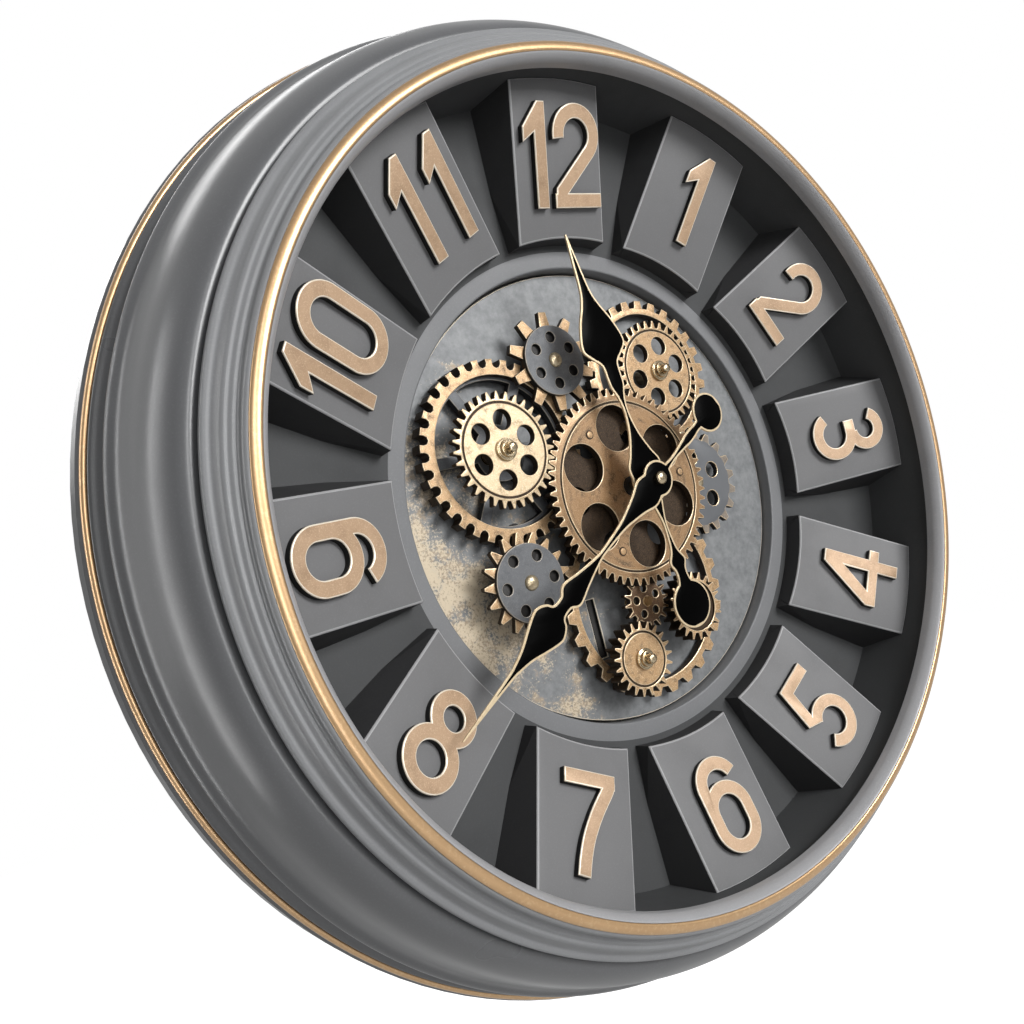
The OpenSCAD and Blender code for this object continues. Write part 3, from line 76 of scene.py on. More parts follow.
finishes = {
    # stove enamel, sprayed over spun steel: satin, faint orange peel, soft clouds
    "casingEnamel": dict(base="#8d8e90", light="#98999b", dark="#7f8082", cloud=80, grain=1.1,
        rough=0.34, roughSpread=0.1, metal=0.0, bump=0.1, wear=0.5, specular=0.5),
    # painted shade: the drum behind it gets a darker enamel than the bezel
    "drumShadeEnamel": dict(base="#626365", light="#6e6f71", dark="#545557", cloud=80, grain=1.1,
        rough=0.31, roughSpread=0.08, metal=0.0, bump=0.06, wear=0.5, specular=0.75),
    # painted highlight: the lip's inner flank gets a lighter enamel
    "lipHighlightEnamel": dict(base="#a3a3a5", light="#b0b0b1", dark="#909092", cloud=50, grain=1.1,
        rough=0.36, roughSpread=0.1, metal=0.0, bump=0.08, wear=0.5),
    # the same enamel in the dish, sprayed flatter; its darker base is painted shade for the
    # recesses between the blocks, while the rolled ring keeps the lighter enamel
    "dialShadeEnamel": dict(base="#454647", light="#4e4f50", dark="#3a3b3c", cloud=45, grain=0.9,
        rough=0.6, roughSpread=0.1, metal=0.0, bump=0.15, wear=0.5, specular=0.3),
    "ringEnamel": dict(base="#77787a", light="#828385", dark="#6a6b6d", cloud=60, grain=0.9,
        rough=0.5, roughSpread=0.1, metal=0.0, bump=0.12, wear=0.5),
    "blockEnamel": dict(base="#747475", light="#7e7e7f", dark="#69696a", cloud=40, grain=0.8,
        rough=0.55, roughSpread=0.1, metal=0.0, bump=0.12, wear=0.5, specular=0.35),
    # painted highlight: the blocks' bevelled edges in a lighter grey
    "blockEdgeHighlight": dict(base="#a2a2a3", light="#b0b0b1", dark="#8c8c8d", cloud=20, grain=0.8,
        rough=0.45, roughSpread=0.1, metal=0.0, bump=0.1, wear=0.5),
    # painted shade: the blocks' side walls in a near-black grey
    "blockSideShade": dict(base="#363637", light="#3e3e3f", dark="#2b2b2c", cloud=30, grain=0.8,
        rough=0.65, roughSpread=0.1, metal=0.0, bump=0.12, wear=0.5, specular=0.2),
    # bronze paint with mica, brushed on by hand: speckled, a little streaky
    "numeralBronze": dict(base="#bd9e80", light="#dbc1a2", dark="#987c60", cloud=14, grain=0.7,
        rough=0.45, roughSpread=0.15, metal=0.25, bump=0.2, wear=0.7),
    # cream on the bevelled edges: rubbed wear and painted highlight
    "creamWearAndHighlight": dict(base="#f6ead6", light="#fdf6ea", dark="#dcc4a0", cloud=6, grain=0.6,
        rough=0.38, roughSpread=0.1, metal=0.2, bump=0.1, wear=0.6),
    # painted shade: the numerals' side walls near-black
    "numeralSideShade": dict(base="#191817", light="#242220", dark="#100f0f", cloud=8, grain=0.6,
        rough=0.6, roughSpread=0.1, metal=0.0, bump=0.12, wear=0.5, specular=0.25),
    # the same paint, thick on the bead wires and rubbed bright along the top
    "beadBronze": dict(base="#c6a278", light="#e6cba2", dark="#a17e55", cloud=60, grain=2.0,
        rough=0.33, roughSpread=0.06, metal=0.75, bump=0.02, wear=0.3, coat=0.4),
    # cast zinc gears, antiqued: bronze wash over black, rubbed bright
    "gearBronze": dict(base="#bd9970", light="#e9d0aa", dark="#5f472e", cloud=5, grain=0.6,
        rough=0.4, roughSpread=0.2, metal=0.3, bump=0.3, wear=0.95),
    "gearEdge": dict(base="#ead2ad", light="#f8ead0", dark="#b08e63", cloud=5, grain=0.6,
        rough=0.34, roughSpread=0.15, metal=0.35, bump=0.1, wear=0.8),
    "gearSide": dict(base="#2c231a", light="#6b5037", dark="#15110d", cloud=4, grain=0.5,
        rough=0.5, roughSpread=0.15, metal=0.2, bump=0.2, wear=0.7, specular=0.3),
    "gearRecess": dict(base="#3a2d20", light="#6b5238", dark="#1c1611", cloud=3, grain=0.5,
        rough=0.6, roughSpread=0.15, metal=0.2, bump=0.25, wear=0.8, specular=0.3),
    "gearPale": dict(base="#dcc39c", light="#f8ecd4", dark="#7d6241", cloud=5, grain=0.6,
        rough=0.38, roughSpread=0.2, metal=0.3, bump=0.25, wear=0.8),
    # the centre gear's wash was wiped off round and round, which leaves dark arcs
    "gearWiped": dict(base="#9f7d59", light="#d2b48c", dark="#33261a", cloud=4, grain=0.55,
        rough=0.38, roughSpread=0.2, metal=0.3, bump=0.25, wear=0.85, arcs=True),
    "wheelWiped": dict(base="#a27c56", light="#cfa97e", dark="#1d1610", cloud=3.4, grain=0.5,
        rough=0.42, roughSpread=0.2, metal=0.35, bump=0.3, wear=1.0, arcs=True),
    "darkBronze": dict(base="#5d452f", light="#94714d", dark="#251b14", cloud=4, grain=0.5,
        rough=0.45, roughSpread=0.15, metal=0.35, bump=0.25, wear=0.8),
    # the same casting left grey, with a dark rubbed edge
    "gearGrey": dict(base="#65676a", light="#7b7d80", dark="#484a4c", cloud=8, grain=0.6,
        rough=0.5, roughSpread=0.15, metal=0.15, bump=0.2, wear=0.7),
    "gearGreyEdge": dict(base="#9c958b", light="#bfb5a5", dark="#6c6862", cloud=5, grain=0.6,
        rough=0.42, roughSpread=0.1, metal=0.2, bump=0.1, wear=0.6),
    "gearGreySide": dict(base="#1f1f20", light="#2c2c2d", dark="#141415", cloud=5, grain=0.6,
        rough=0.55, roughSpread=0.1, metal=0.1, bump=0.15, wear=0.6, specular=0.3),
    # turned brass, polished, with a little tarnish in the corners
    "turnedBrass": dict(base="#b5a488", light="#e6dec8", dark="#6f5c40", cloud=3, grain=0.4,
        rough=0.22, roughSpread=0.12, metal=1.0, bump=0.04, wear=0.7),
    "paleRivet": dict(base="#b3a488", light="#d9cdb2", dark="#7d6d51", cloud=3, grain=0.4,
        rough=0.3, roughSpread=0.1, metal=0.7, bump=0.08, wear=0.6),
    # baking enamel, satin black, on stamped hands
    "handEnamel": dict(base="#030303", light="#050505", dark="#020202", cloud=20, grain=0.5,
        rough=0.3, roughSpread=0.06, metal=0.0, bump=0.01, wear=0.5, specular=0.025),
    "handGilt": dict(base="#e3cda8", light="#f4e4c8", dark="#b7986b", cloud=5, grain=0.5,
        rough=0.34, roughSpread=0.1, metal=0.4, bump=0.05, wear=0.6),
    # zinc plate, mill finish
    "zincSteel": dict(base="#a5a5a3", light="#b8b8b6", dark="#8a8a88", cloud=12, grain=0.5,
        rough=0.34, roughSpread=0.15, metal=1.0, bump=0.05, wear=0.5),
    # blackened steel of the posts and sleeve
    "blackSteel": dict(base="#2f2e2d", light="#3d3c3a", dark="#201f1f", cloud=6, grain=0.5,
        rough=0.45, roughSpread=0.1, metal=0.6, bump=0.08, wear=0.5),
    # hardboard sprayed black, with its fibre showing a little
    "blackBoard": dict(base="#2d2b29", light="#383532", dark="#211f1e", cloud=14, grain=1.4,
        rough=0.75, roughSpread=0.1, metal=0.0, bump=0.35, wear=0.6),
    # ABS, moulded, fine spark-eroded texture
    "blackAbs": dict(base="#1b1b1c", light="#232324", dark="#151516", cloud=15, grain=0.7,
        rough=0.48, roughSpread=0.06, metal=0.0, bump=0.15, wear=0.5),
    "whiteAbs": dict(base="#dcdbd6", light="#e6e5e1", dark="#cbcac4", cloud=10, grain=0.7,
        rough=0.42, roughSpread=0.06, metal=0.0, bump=0.1, wear=0.5),
    # printed film wrap of a cell, plain
    "cellWrap": dict(base="#b88a3c", light="#c79a4b", dark="#a0762e", cloud=20, grain=0.5,
        rough=0.3, roughSpread=0.06, metal=0.4, bump=0.03, wear=0.4),
}
materials = {}


arcStretch = 0.012  # metres of pattern for each radian, so that patches become arcs


def aroundCentre(tree, place):
    # turns the place into radius and a shortened arc, so that a pattern runs round the centre
    spread = addNode(tree, "SeparateXYZ", links={"Vector": place})
    flat = addNode(tree, "CombineXYZ", links={"X": spread.outputs["X"],
        "Y": spread.outputs["Z"]})
    radius = addNode(tree, "VectorMath", links={0: flat.outputs["Vector"]},
        operation="LENGTH")
    turn = addNode(tree, "Math", links={0: spread.outputs["Z"], 1: spread.outputs["X"]},
        operation="ARCTAN2")
    arc = addNode(tree, "Math", {1: arcStretch}, {0: turn.outputs[0]}, operation="MULTIPLY")
    return addNode(tree, "CombineXYZ", links={"X": radius.outputs["Value"],
        "Y": arc.outputs[0], "Z": spread.outputs["Y"]}).outputs["Vector"]


# how much of a noise pattern counts as worn dark, as rubbed light, and as dull or shiny
thresholds = dict(dark=(0.5, 0.75), light=(0.52, 0.72), gloss=(0.3, 0.7))
reliefDepth = 0.1  # mm, of the grain in every finish
coatRoughness = 0.18
edgeBlend = 0.2  # mm to each side of the line where a zone changes colour


def makeFinish(name, look):
    material = bpy.data.materials.new(name)
    material.use_nodes = True
    tree = material.node_tree
    shader = tree.nodes["Principled BSDF"]
    place = addNode(tree, "TexCoord").outputs["Object"]
    cloudPlace = aroundCentre(tree, place) if look.get("arcs") else place
    # broad clouds, a few centimetres wide, and a fine grain: sizes in mm
    cloud = addNode(tree, "TexNoise", {"Scale": 1000 / look["cloud"], "Detail": 3.0,
        "Roughness": 0.6}, {"Vector": cloudPlace})
    grain = addNode(tree, "TexNoise", {"Scale": 1000 / look["grain"], "Detail": 2.0,
        "Roughness": 0.65}, {"Vector": place})
    darkFrom, darkTo = thresholds["dark"]
    lightFrom, lightTo = thresholds["light"]
    glossFrom, glossTo = thresholds["gloss"]
    toDark = addNode(tree, "MapRange", {"From Min": darkFrom, "From Max": darkTo,
        "To Min": 0.0, "To Max": look["wear"]}, {"Value": cloud.outputs["Fac"]})
    toLight = addNode(tree, "MapRange", {"From Min": lightFrom, "From Max": lightTo,
        "To Min": 0.0, "To Max": look["wear"]}, {"Value": grain.outputs["Fac"]})
    first = addNode(tree, "Mix", {"A": toLinear(look["base"]), "B": toLinear(look["dark"])},
        {"Factor": toDark.outputs["Result"]}, data_type="RGBA")
    second = addNode(tree, "Mix", {"B": toLinear(look["light"])},
        {"Factor": toLight.outputs["Result"], "A": first.outputs["Result"]}, data_type="RGBA")
    colour = second.outputs["Result"]
    if "inside" in look:
        # another colour within a radius of a gear's own centre, in mm
        x, z, radius, tone = look["inside"]
        spread = addNode(tree, "SeparateXYZ", links={"Vector": place})
        flat = addNode(tree, "CombineXYZ", links={"X": spread.outputs["X"],
            "Z": spread.outputs["Z"]})
        away = addNode(tree, "VectorMath", {1: (x * mm, 0, z * mm)},
            {0: flat.outputs["Vector"]}, operation="DISTANCE")
        within = addNode(tree, "MapRange", {"From Min": (radius + edgeBlend) * mm,
            "From Max": (radius - edgeBlend) * mm}, {"Value": away.outputs["Value"]})
        colour = addNode(tree, "Mix", {"B": toLinear(tone)},
            {"Factor": within.outputs["Result"], "A": colour},
            data_type="RGBA").outputs["Result"]
    tree.links.new(colour, shader.inputs["Base Color"])
    gloss = addNode(tree, "MapRange", {"From Min": glossFrom, "From Max": glossTo,
        "To Min": max(look["rough"] - look["roughSpread"] / 2, 0.02),
        "To Max": look["rough"] + look["roughSpread"] / 2}, {"Value": cloud.outputs["Fac"]})
    tree.links.new(gloss.outputs["Result"], shader.inputs["Roughness"])
    shader.inputs["Metallic"].default_value = look["metal"]
    shader.inputs["Specular IOR Level"].default_value = look.get("specular", 0.5)
    shader.inputs["Coat Weight"].default_value = look.get("coat", 0.0)
    shader.inputs["Coat Roughness"].default_value = coatRoughness
    relief = addNode(tree, "Bump", {"Strength": look["bump"], "Distance": reliefDepth * mm},
        {"Height": grain.outputs["Fac"]})
    tree.links.new(relief.outputs["Normal"], shader.inputs["Normal"])
    return material


def middleOf(nodeName):
    low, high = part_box(nodeName)
    return (low[0] + high[0]) / 2 / mm, (low[2] + high[2]) / 2 / mm


# painted shade: the star gears are black under and round their discs; the grey gear's teeth are
# rubbed to bronze;
# radii in mm, each about a gear's own centre
zones = dict(starUpper=21.4, starLower=23, greyWheel=29.6, black="#191614", grey="#66686b")
finishes["starUpper"] = dict(finishes["gearBronze"],
    inside=(*middleOf("top_left_disc"), zones["starUpper"], zones["black"]))
finishes["starLower"] = dict(finishes["gearBronze"],
    inside=(*middleOf("bottom_left_disc"), zones["starLower"], zones["black"]))
finishes["greyWheel"] = dict(finishes["gearGrey"], base="#8b8074", light="#b3a590",
    dark="#625a51", inside=(*middleOf("right_fixed_gear"), zones["greyWheel"], zones["grey"]))

for finishName, finishLook in finishes.items():
    materials[finishName] = makeFinish(finishName, finishLook)


def makePlateFinish():
    # zinc plate, grey lacquer sponged on and rubbed through to bronze, most at the left edge
    # and the lower left: a fine mottle, speckled patches and a few cream flecks
    look = dict(grey="#8b8d8e", dark="#717375", bronze="#b39a78", cream="#dccdb2",
        patchMm=42, mottleMm=7, fleckMm=1.6, perMetreLeft=-2.9, perMetreUp=-0.35,
        wornFrom=0.6, wornTo=0.98, cover=0.78, bronzeShare=0.62, creamShare=0.7, soft=0.14,
        creamFrom=0.02, metal=0.15, rough=0.5, bump=0.12)
    material = bpy.data.materials.new("plateLacquer")
    material.use_nodes = True
    tree = material.node_tree
    shader = tree.nodes["Principled BSDF"]
    place = addNode(tree, "TexCoord").outputs["Object"]
    patch = addNode(tree, "TexNoise", {"Scale": 1000 / look["patchMm"], "Detail": 5.0,
        "Roughness": 0.62}, {"Vector": place})
    mottle = addNode(tree, "TexNoise", {"Scale": 1000 / look["mottleMm"], "Detail": 6.0,
        "Roughness": 0.7}, {"Vector": place})
    fleck = addNode(tree, "TexNoise", {"Scale": 1000 / look["fleckMm"], "Detail": 3.0,
        "Roughness": 0.7}, {"Vector": place})
    spread = addNode(tree, "SeparateXYZ", links={"Vector": place})
    # grows to the left and a little downwards
    left = addNode(tree, "Math", {1: look["perMetreLeft"]}, {0: spread.outputs["X"]},
        operation="MULTIPLY")
    low = addNode(tree, "Math", {1: look["perMetreUp"]}, {0: spread.outputs["Z"]},
        operation="MULTIPLY")
    away = addNode(tree, "Math", links={0: left.outputs[0], 1: low.outputs[0]},
        operation="ADD")
    worn = addNode(tree, "Math", links={0: patch.outputs["Fac"], 1: away.outputs[0]},
        operation="ADD")
    amount = addNode(tree, "MapRange", {"From Min": look["wornFrom"],
        "From Max": look["wornTo"], "To Min": 0.0, "To Max": 1.0}, {"Value": worn.outputs[0]})
    # less paint taken off where the mottle is low, which makes the patches speckled
    level = addNode(tree, "Math", {1: 0.5}, {0: amount.outputs["Result"]},
        operation="MULTIPLY")
    cut = addNode(tree, "Math", {0: look["cover"]}, {1: level.outputs[0]},
        operation="SUBTRACT")
    over = addNode(tree, "Math", links={0: mottle.outputs["Fac"], 1: cut.outputs[0]},
        operation="SUBTRACT")
    bronzeOn = addNode(tree, "MapRange", {"From Min": 0.0, "From Max": look["soft"],
        "To Max": look["bronzeShare"]}, {"Value": over.outputs[0]})
    overFine = addNode(tree, "Math", links={0: fleck.outputs["Fac"], 1: cut.outputs[0]},
        operation="SUBTRACT")
    creamOn = addNode(tree, "MapRange", {"From Min": look["creamFrom"],
        "From Max": look["soft"], "To Max": look["creamShare"]},
        {"Value": overFine.outputs[0]})
    shade = addNode(tree, "MapRange", {"From Min": 0.35, "From Max": 0.65},
        {"Value": mottle.outputs["Fac"]})
    grey = addNode(tree, "Mix", {"A": toLinear(look["dark"]), "B": toLinear(look["grey"])},
        {"Factor": shade.outputs["Result"]}, data_type="RGBA")
    withBronze = addNode(tree, "Mix", {"B": toLinear(look["bronze"])},
        {"Factor": bronzeOn.outputs["Result"], "A": grey.outputs["Result"]}, data_type="RGBA")
    withCream = addNode(tree, "Mix", {"B": toLinear(look["cream"])},
        {"Factor": creamOn.outputs["Result"], "A": withBronze.outputs["Result"]},
        data_type="RGBA")
    tree.links.new(withCream.outputs["Result"], shader.inputs["Base Color"])
    shader.inputs["Metallic"].default_value = look["metal"]
    shader.inputs["Roughness"].default_value = look["rough"]
    relief = addNode(tree, "Bump", {"Strength": look["bump"], "Distance": reliefDepth * mm},
        {"Height": fleck.outputs["Fac"]})
    tree.links.new(relief.outputs["Normal"], shader.inputs["Normal"])
    return material


materials["plateLacquer"] = makePlateFinish()
print("finishes made:", len(materials))


casing = dict(outer=305, opening=241.5, depth=101, lip=3.2, seat=0.1, beadWidth=6,
    beadThickness=2.6, beadIn=7, beadRise=7.3, beadLean=11, rearBeadR=2.1, drumEnd=0.911,
    drumEndDepth=0.8405, ring=61.8, ringIn=144.5, floorIn=154.5, floorDepth=50.5, dish=3,
    backerDepth=73, segments=256, lipHighlightShare=0.6, ringEdge=0.8, wallIn=5, edgeR=1.2,
    wallGap=0.8, floorDip=0.386)
mergeWithin = 0.003  # mm
rimWidth = casing["outer"] - casing["opening"]
beadLean = math.radians(casing["beadLean"])
beadProud = casing["beadRise"] + math.hypot(casing["beadThickness"] / 2 * math.cos(beadLean),
    casing["beadWidth"] / 2 * math.sin(beadLean))
lipY = (casing["depth"] - beadProud) / 2

# shares of the rim's width and of the shell's depth, the same as in the CAD part
lipInside = [(0, -0.012), (0.005, -0.027), (0.0175, -0.046), (0.036, -0.064),
    (0.051, -0.0745)]
bezelOutside = [(0.1725, -0.0634), (0.186, -0.0555), (0.1955, -0.0416), (0.2, -0.022),
    (0.211, -0.0085), (0.238, -0.003), (0.263, 0.009), (0.288, 0.0135), (0.309, 0.025),
    (0.324, 0.043), (0.35, 0.0645), (0.384, 0.0735), (0.408, 0.0825), (0.416, 0.098),
    (0.411, 0.118), (0.368, 0.1625)]
bezelInside = [(0.33, 0.1625), (0.326, 0.131), (0.301, 0.093), (0.241, 0.0595),
    (0.187, 0.0455)]
drumOutside = [(0.368, 0.1655), (0.395, 0.1535), (0.433, 0.1445), (0.479, 0.1475),
    (0.543, 0.1743), (0.611, 0.2238), (0.671, 0.286), (0.715, 0.3604), (0.754, 0.4535),
    (0.799, 0.538), (0.858, 0.578), (0.873, 0.604), (0.848, 0.639), (0.806, 0.69),
    (0.818, 0.73), (0.865, 0.757), (0.918, 0.772), (0.932, 0.785), (0.911, 0.795)]
drumInside = [(0.864, 0.8405), (0.862, 0.81), (0.835, 0.788), (0.782, 0.765),
    (0.757, 0.69), (0.79, 0.63), (0.798, 0.612), (0.765, 0.572), (0.707, 0.467),
    (0.668, 0.375), (0.625, 0.309), (0.5685, 0.2515), (0.5055, 0.208), (0.441, 0.187),
    (0.375, 0.194), (0.33, 0.1655)]


def rimPoint(share):
    return (casing["opening"] + share[0] * rimWidth, share[1] * casing["depth"])


def smoothCurve(points, steps):
    out = []
    for i in range(len(points) - 1):
        a, b = points[max(i - 1, 0)], points[i]
        c, d = points[i + 1], points[min(i + 2, len(points) - 1)]
        for k in range(steps):
            t = k / steps
            out.append(tuple((2 * q + (r - p) * t + (2 * p - 5 * q + 4 * r - s) * t * t
                + (3 * q - 3 * r + s - p) * t ** 3) / 2 for p, q, r, s in zip(a, b, c, d)))
    return out + [points[-1]]


def arcPoints(centre, radius, start, end, count):
    return [(centre[0] + radius * math.cos(math.radians(start + (end - start) * i / count)),
        centre[1] + radius * math.sin(math.radians(start + (end - start) * i / count)))
        for i in range(count + 1)]


def turnRing(name, profile, segments=casing["segments"]):
    # profile: (radius, depth behind the lip) in mm, closed by going back to its start
    deselectAll()
    radius, depth = profile[0]
    bpy.ops.mesh.primitive_circle_add(vertices=segments, radius=radius * mm,
        location=(0, (depth - lipY) * mm, 0), rotation=(math.pi / 2, 0, 0))
    piece = bpy.context.object
    piece.name = name
    bpy.ops.object.transform_apply(location=True, rotation=True, scale=True)
    bpy.ops.object.mode_set(mode="EDIT")
    bpy.ops.mesh.select_all(action="SELECT")
    for nextRadius, nextDepth in profile[1:] + profile[:1]:
        bpy.ops.mesh.extrude_region_move(TRANSFORM_OT_translate={
            "value": (0, (nextDepth - depth) * mm, 0)})
        grow = nextRadius / radius
        bpy.ops.transform.resize(value=(grow, 1, grow), center_override=(0, 0, 0))
        radius, depth = nextRadius, nextDepth
    bpy.ops.mesh.select_all(action="SELECT")
    bpy.ops.mesh.remove_doubles(threshold=0.002 * mm)
    bpy.ops.mesh.normals_make_consistent(inside=False)
    bpy.ops.object.mode_set(mode="OBJECT")
    return piece


def setFinish(piece, *names):
    piece.data.materials.clear()
    for name in names:
        piece.data.materials.append(materials[name])


def smoothByAngle(piece, degrees):
    pickOnly(piece)
    bpy.ops.object.shade_smooth_by_angle(angle=math.radians(degrees))


def finishPiece(piece, body, slotName, *replaced):
    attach(piece, body)
    if replaced:
        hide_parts(*replaced)


def beadSection(start, end, grow, count):
    # part of the front bead's section, an ellipse that leans outwards
    out = []
    for i in range(count + 1):
        turn = math.radians(start + (end - start) * i / count)
        along = (casing["beadWidth"] / 2 + grow) * math.cos(turn)
        across = (casing["beadThickness"] / 2 + grow) * math.sin(turn)
        out.append((casing["opening"] + casing["beadIn"] + along * math.cos(beadLean)
            + across * math.sin(beadLean), -casing["beadRise"] + along * math.sin(beadLean)
            - across * math.cos(beadLean)))
    return out


lip = casing["lip"]
bezelProfile = ([(casing["opening"], lip)] + smoothCurve([rimPoint(s) for s in lipInside], 4)
    + beadSection(180, 360, casing["seat"], 12)
    + smoothCurve([rimPoint(s) for s in bezelOutside], 6)
    + [rimPoint(s) for s in bezelInside]
    + [(rimPoint(bezelInside[-1])[0] - lip / 2, lip)])
bezel = turnRing("frontBezel", bezelProfile)
setFinish(bezel, "casingEnamel", "lipHighlightEnamel")
# painted highlight: faces nearer the opening than this share of the bead's inset take the lighter
# lip enamel
for polygon in bezel.data.polygons:
    middle = math.hypot(polygon.center.x, polygon.center.z) / mm
    polygon.material_index = int(middle < casing["opening"]
        + casing["beadIn"] * casing["lipHighlightShare"])
smoothByAngle(bezel, 40)
finishPiece(bezel, "clock", "casing", "front_bezel")

drumEndRadius, drumEndDepth = rimPoint((casing["drumEnd"], casing["drumEndDepth"]))
drum = turnRing("casingDrum", smoothCurve([rimPoint(s) for s in drumOutside], 6)
    + [(drumEndRadius, drumEndDepth)] + [rimPoint(s) for s in drumInside])
# painted shade: the drum takes the darker enamel
setFinish(drum, "drumShadeEnamel")
smoothByAngle(drum, 40)
finishPiece(drum, "clock", "casing", "casing_drum")


def beadRing(name, profile, finish, replaced):
    piece = turnRing(name, profile)
    setFinish(piece, finish)
    smoothByAngle(piece, 60)
    finishPiece(piece, "clock", "bead_bronze", replaced)


# turn at which the leaning section stands highest, so that it ends level with the CAD bead
beadTop = math.degrees(math.atan2(casing["beadThickness"] * math.cos(beadLean),
    -casing["beadWidth"] * math.sin(beadLean)))
beadRing("frontBead", beadSection(beadTop, beadTop + 345, 0, 23), "beadBronze", "front_bead")
rearBeadAt = (drumEndRadius + casing["seat"] + casing["rearBeadR"],
    drumEndDepth - casing["seat"] - casing["rearBeadR"])
beadRing("rearBead", arcPoints(rearBeadAt, casing["rearBeadR"], 0, 345, 23), "beadBronze",
    "rear_bead")

# the dish is turned as one pressed sheet: lip, wall, floor, rolled ring and plate seat
wallOut = casing["opening"] + casing["wallGap"]
wallIn, edgeR = casing["wallIn"], casing["edgeR"]
dishProfile = ([(wallOut + wallIn, lip), (wallOut, casing["floorDepth"])]
    + [(casing["floorIn"] + 0.6, casing["ring"] - 0.08), (casing["floorIn"] - 0.6, casing["ring"])]
    + arcPoints((casing["ringIn"] + edgeR, casing["ring"] + edgeR), edgeR, 270, 180, 5)
    + [(casing["ringIn"], casing["backerDepth"]),
        (casing["ringIn"] + casing["dish"], casing["backerDepth"]),
        (casing["ringIn"] + casing["dish"], casing["ring"] + casing["dish"]),
        (casing["floorIn"], casing["ring"] + casing["dish"]),
        (wallOut + casing["dish"],
            casing["floorDepth"] + casing["dish"] - casing["floorDip"]),
        (wallOut + wallIn + casing["dish"], lip)])
dish = turnRing("dialDish", dishProfile)
setFinish(dish, "dialShadeEnamel", "ringEnamel")
# painted shade: the wall and floor take the darker enamel, the rolled ring the lighter one
for polygon in dish.data.polygons:
    middle = math.hypot(polygon.center.x, polygon.center.z) / mm
    polygon.material_index = int(middle < casing["floorIn"] + casing["ringEdge"])
smoothByAngle(dish, 35)
finishPiece(dish, "clock", "dial_grey", "dial_dish")
print("casing turned")


front = Vector((0, -1, 0))


def pickFaces(piece, wanted):
    # in face mode, or edit mode drops what was picked here
    scene.tool_settings.mesh_select_mode = (False, False, True)
    for polygon in piece.data.polygons:
        polygon.select = wanted(polygon)


def copyOfNode(nodeName, name):
    deselectAll()
    source = nodes[nodeName]
    piece = source.copy()
    piece.data = source.data.copy()
    piece.name = name
    piece.parent = None
    for key in list(piece.keys()):
        del piece[key]
    scene.collection.objects.link(piece)
    pickOnly(piece)
    bpy.ops.object.mode_set(mode="EDIT")
    bpy.ops.mesh.select_all(action="SELECT")
    bpy.ops.mesh.remove_doubles(threshold=mergeWithin * mm)
    bpy.ops.mesh.dissolve_limited(angle_limit=math.radians(0.6))
    bpy.ops.object.mode_set(mode="OBJECT")
    return piece


def dressNode(nodeName, name, body, slotName, face, edge, side, recess=None,
        facing=front, edgeWidth=0.45, level=None, steps=2, smooth=20):
    # face, edge, side and recess are finishes; level says how far along the facing
    # direction, in mm, a face may lie below the highest and still count as the top
    piece = copyOfNode(nodeName, name)
    mesh = piece.data
    setFinish(piece, face, edge, side, recess or face)
    heights = [p.center.dot(facing) for p in mesh.polygons if p.normal.dot(facing) > 0.97]
    top = max(heights) if heights else 0
    for polygon in mesh.polygons:
        isFacing = polygon.normal.dot(facing) > 0.97
        isTop = isFacing and (level is None or polygon.center.dot(facing) > top - level * mm)
        polygon.material_index = 0 if isTop else 3 if isFacing else 2
    pickFaces(piece, lambda polygon: polygon.material_index == 0)
    if edgeWidth:
        bpy.ops.object.mode_set(mode="EDIT")
        bpy.ops.mesh.select_mode(type="FACE")
        bpy.ops.mesh.region_to_loop()
        bpy.ops.mesh.bevel(offset=edgeWidth * mm, offset_type="OFFSET", segments=steps,
            profile=0.5, affect="EDGES", clamp_overlap=False, material=1)
        bpy.ops.object.mode_set(mode="OBJECT")
    smoothByAngle(piece, smooth)
    finishPiece(piece, body, slotName, nodeName)
    return piece


blockSlope = math.radians(17.9)
blockEdgeWidth = 0.9  # mm
hours = ["One", "Two", "Three", "Four", "Five", "Six", "Seven", "Eight", "Nine", "Ten",
    "Eleven", "Twelve"]


def hourFacing(hour):
    angle = math.radians(30 * hour)
    return Vector((-math.sin(blockSlope) * math.sin(angle), -math.cos(blockSlope),
        -math.sin(blockSlope) * math.cos(angle)))


# the numerals' side walls take a near-black finish, painted shade; their bevels take cream, wear
# and painted highlight
for number, word in enumerate(hours, 1):
    dressNode("numeral_%d" % number, "numeral" + word, "clock", "numeral_bronze",
        "numeralBronze", "creamWearAndHighlight", "numeralSideShade", facing=hourFacing(number),
        edgeWidth=0.75)
print("numerals dressed")


def dressBlocks():
    piece = copyOfNode("numeral_blocks", "numeralBlocks")
    mesh = piece.data
    setFinish(piece, "blockEnamel", "blockEdgeHighlight", "blockSideShade")
    facings = [hourFacing(n) for n in range(1, 13)]
    # painted shade: all but the sloping faces take the dark side grey
    for polygon in mesh.polygons:
        isFace = max(polygon.normal.dot(f) for f in facings) > 0.995
        polygon.material_index = 0 if isFace else 2
    pickFaces(piece, lambda polygon: polygon.material_index == 0)
    bpy.ops.object.mode_set(mode="EDIT")
    bpy.ops.mesh.select_mode(type="FACE")
    bpy.ops.mesh.region_to_loop()
    # the bevel takes the lighter edge grey, a painted highlight
    bpy.ops.mesh.bevel(offset=blockEdgeWidth * mm, offset_type="OFFSET", segments=3, profile=0.5,
        affect="EDGES", clamp_overlap=False, material=1)
    bpy.ops.object.mode_set(mode="OBJECT")
    smoothByAngle(piece, 16)
    finishPiece(piece, "clock", "block_grey", "numeral_blocks")


dressBlocks()
print("blocks dressed")

dressNode("gear_plate", "gearPlate", "clock", "plate_worn", "plateLacquer", "creamWearAndHighlight",
    "gearGreySide", edgeWidth=0.6)

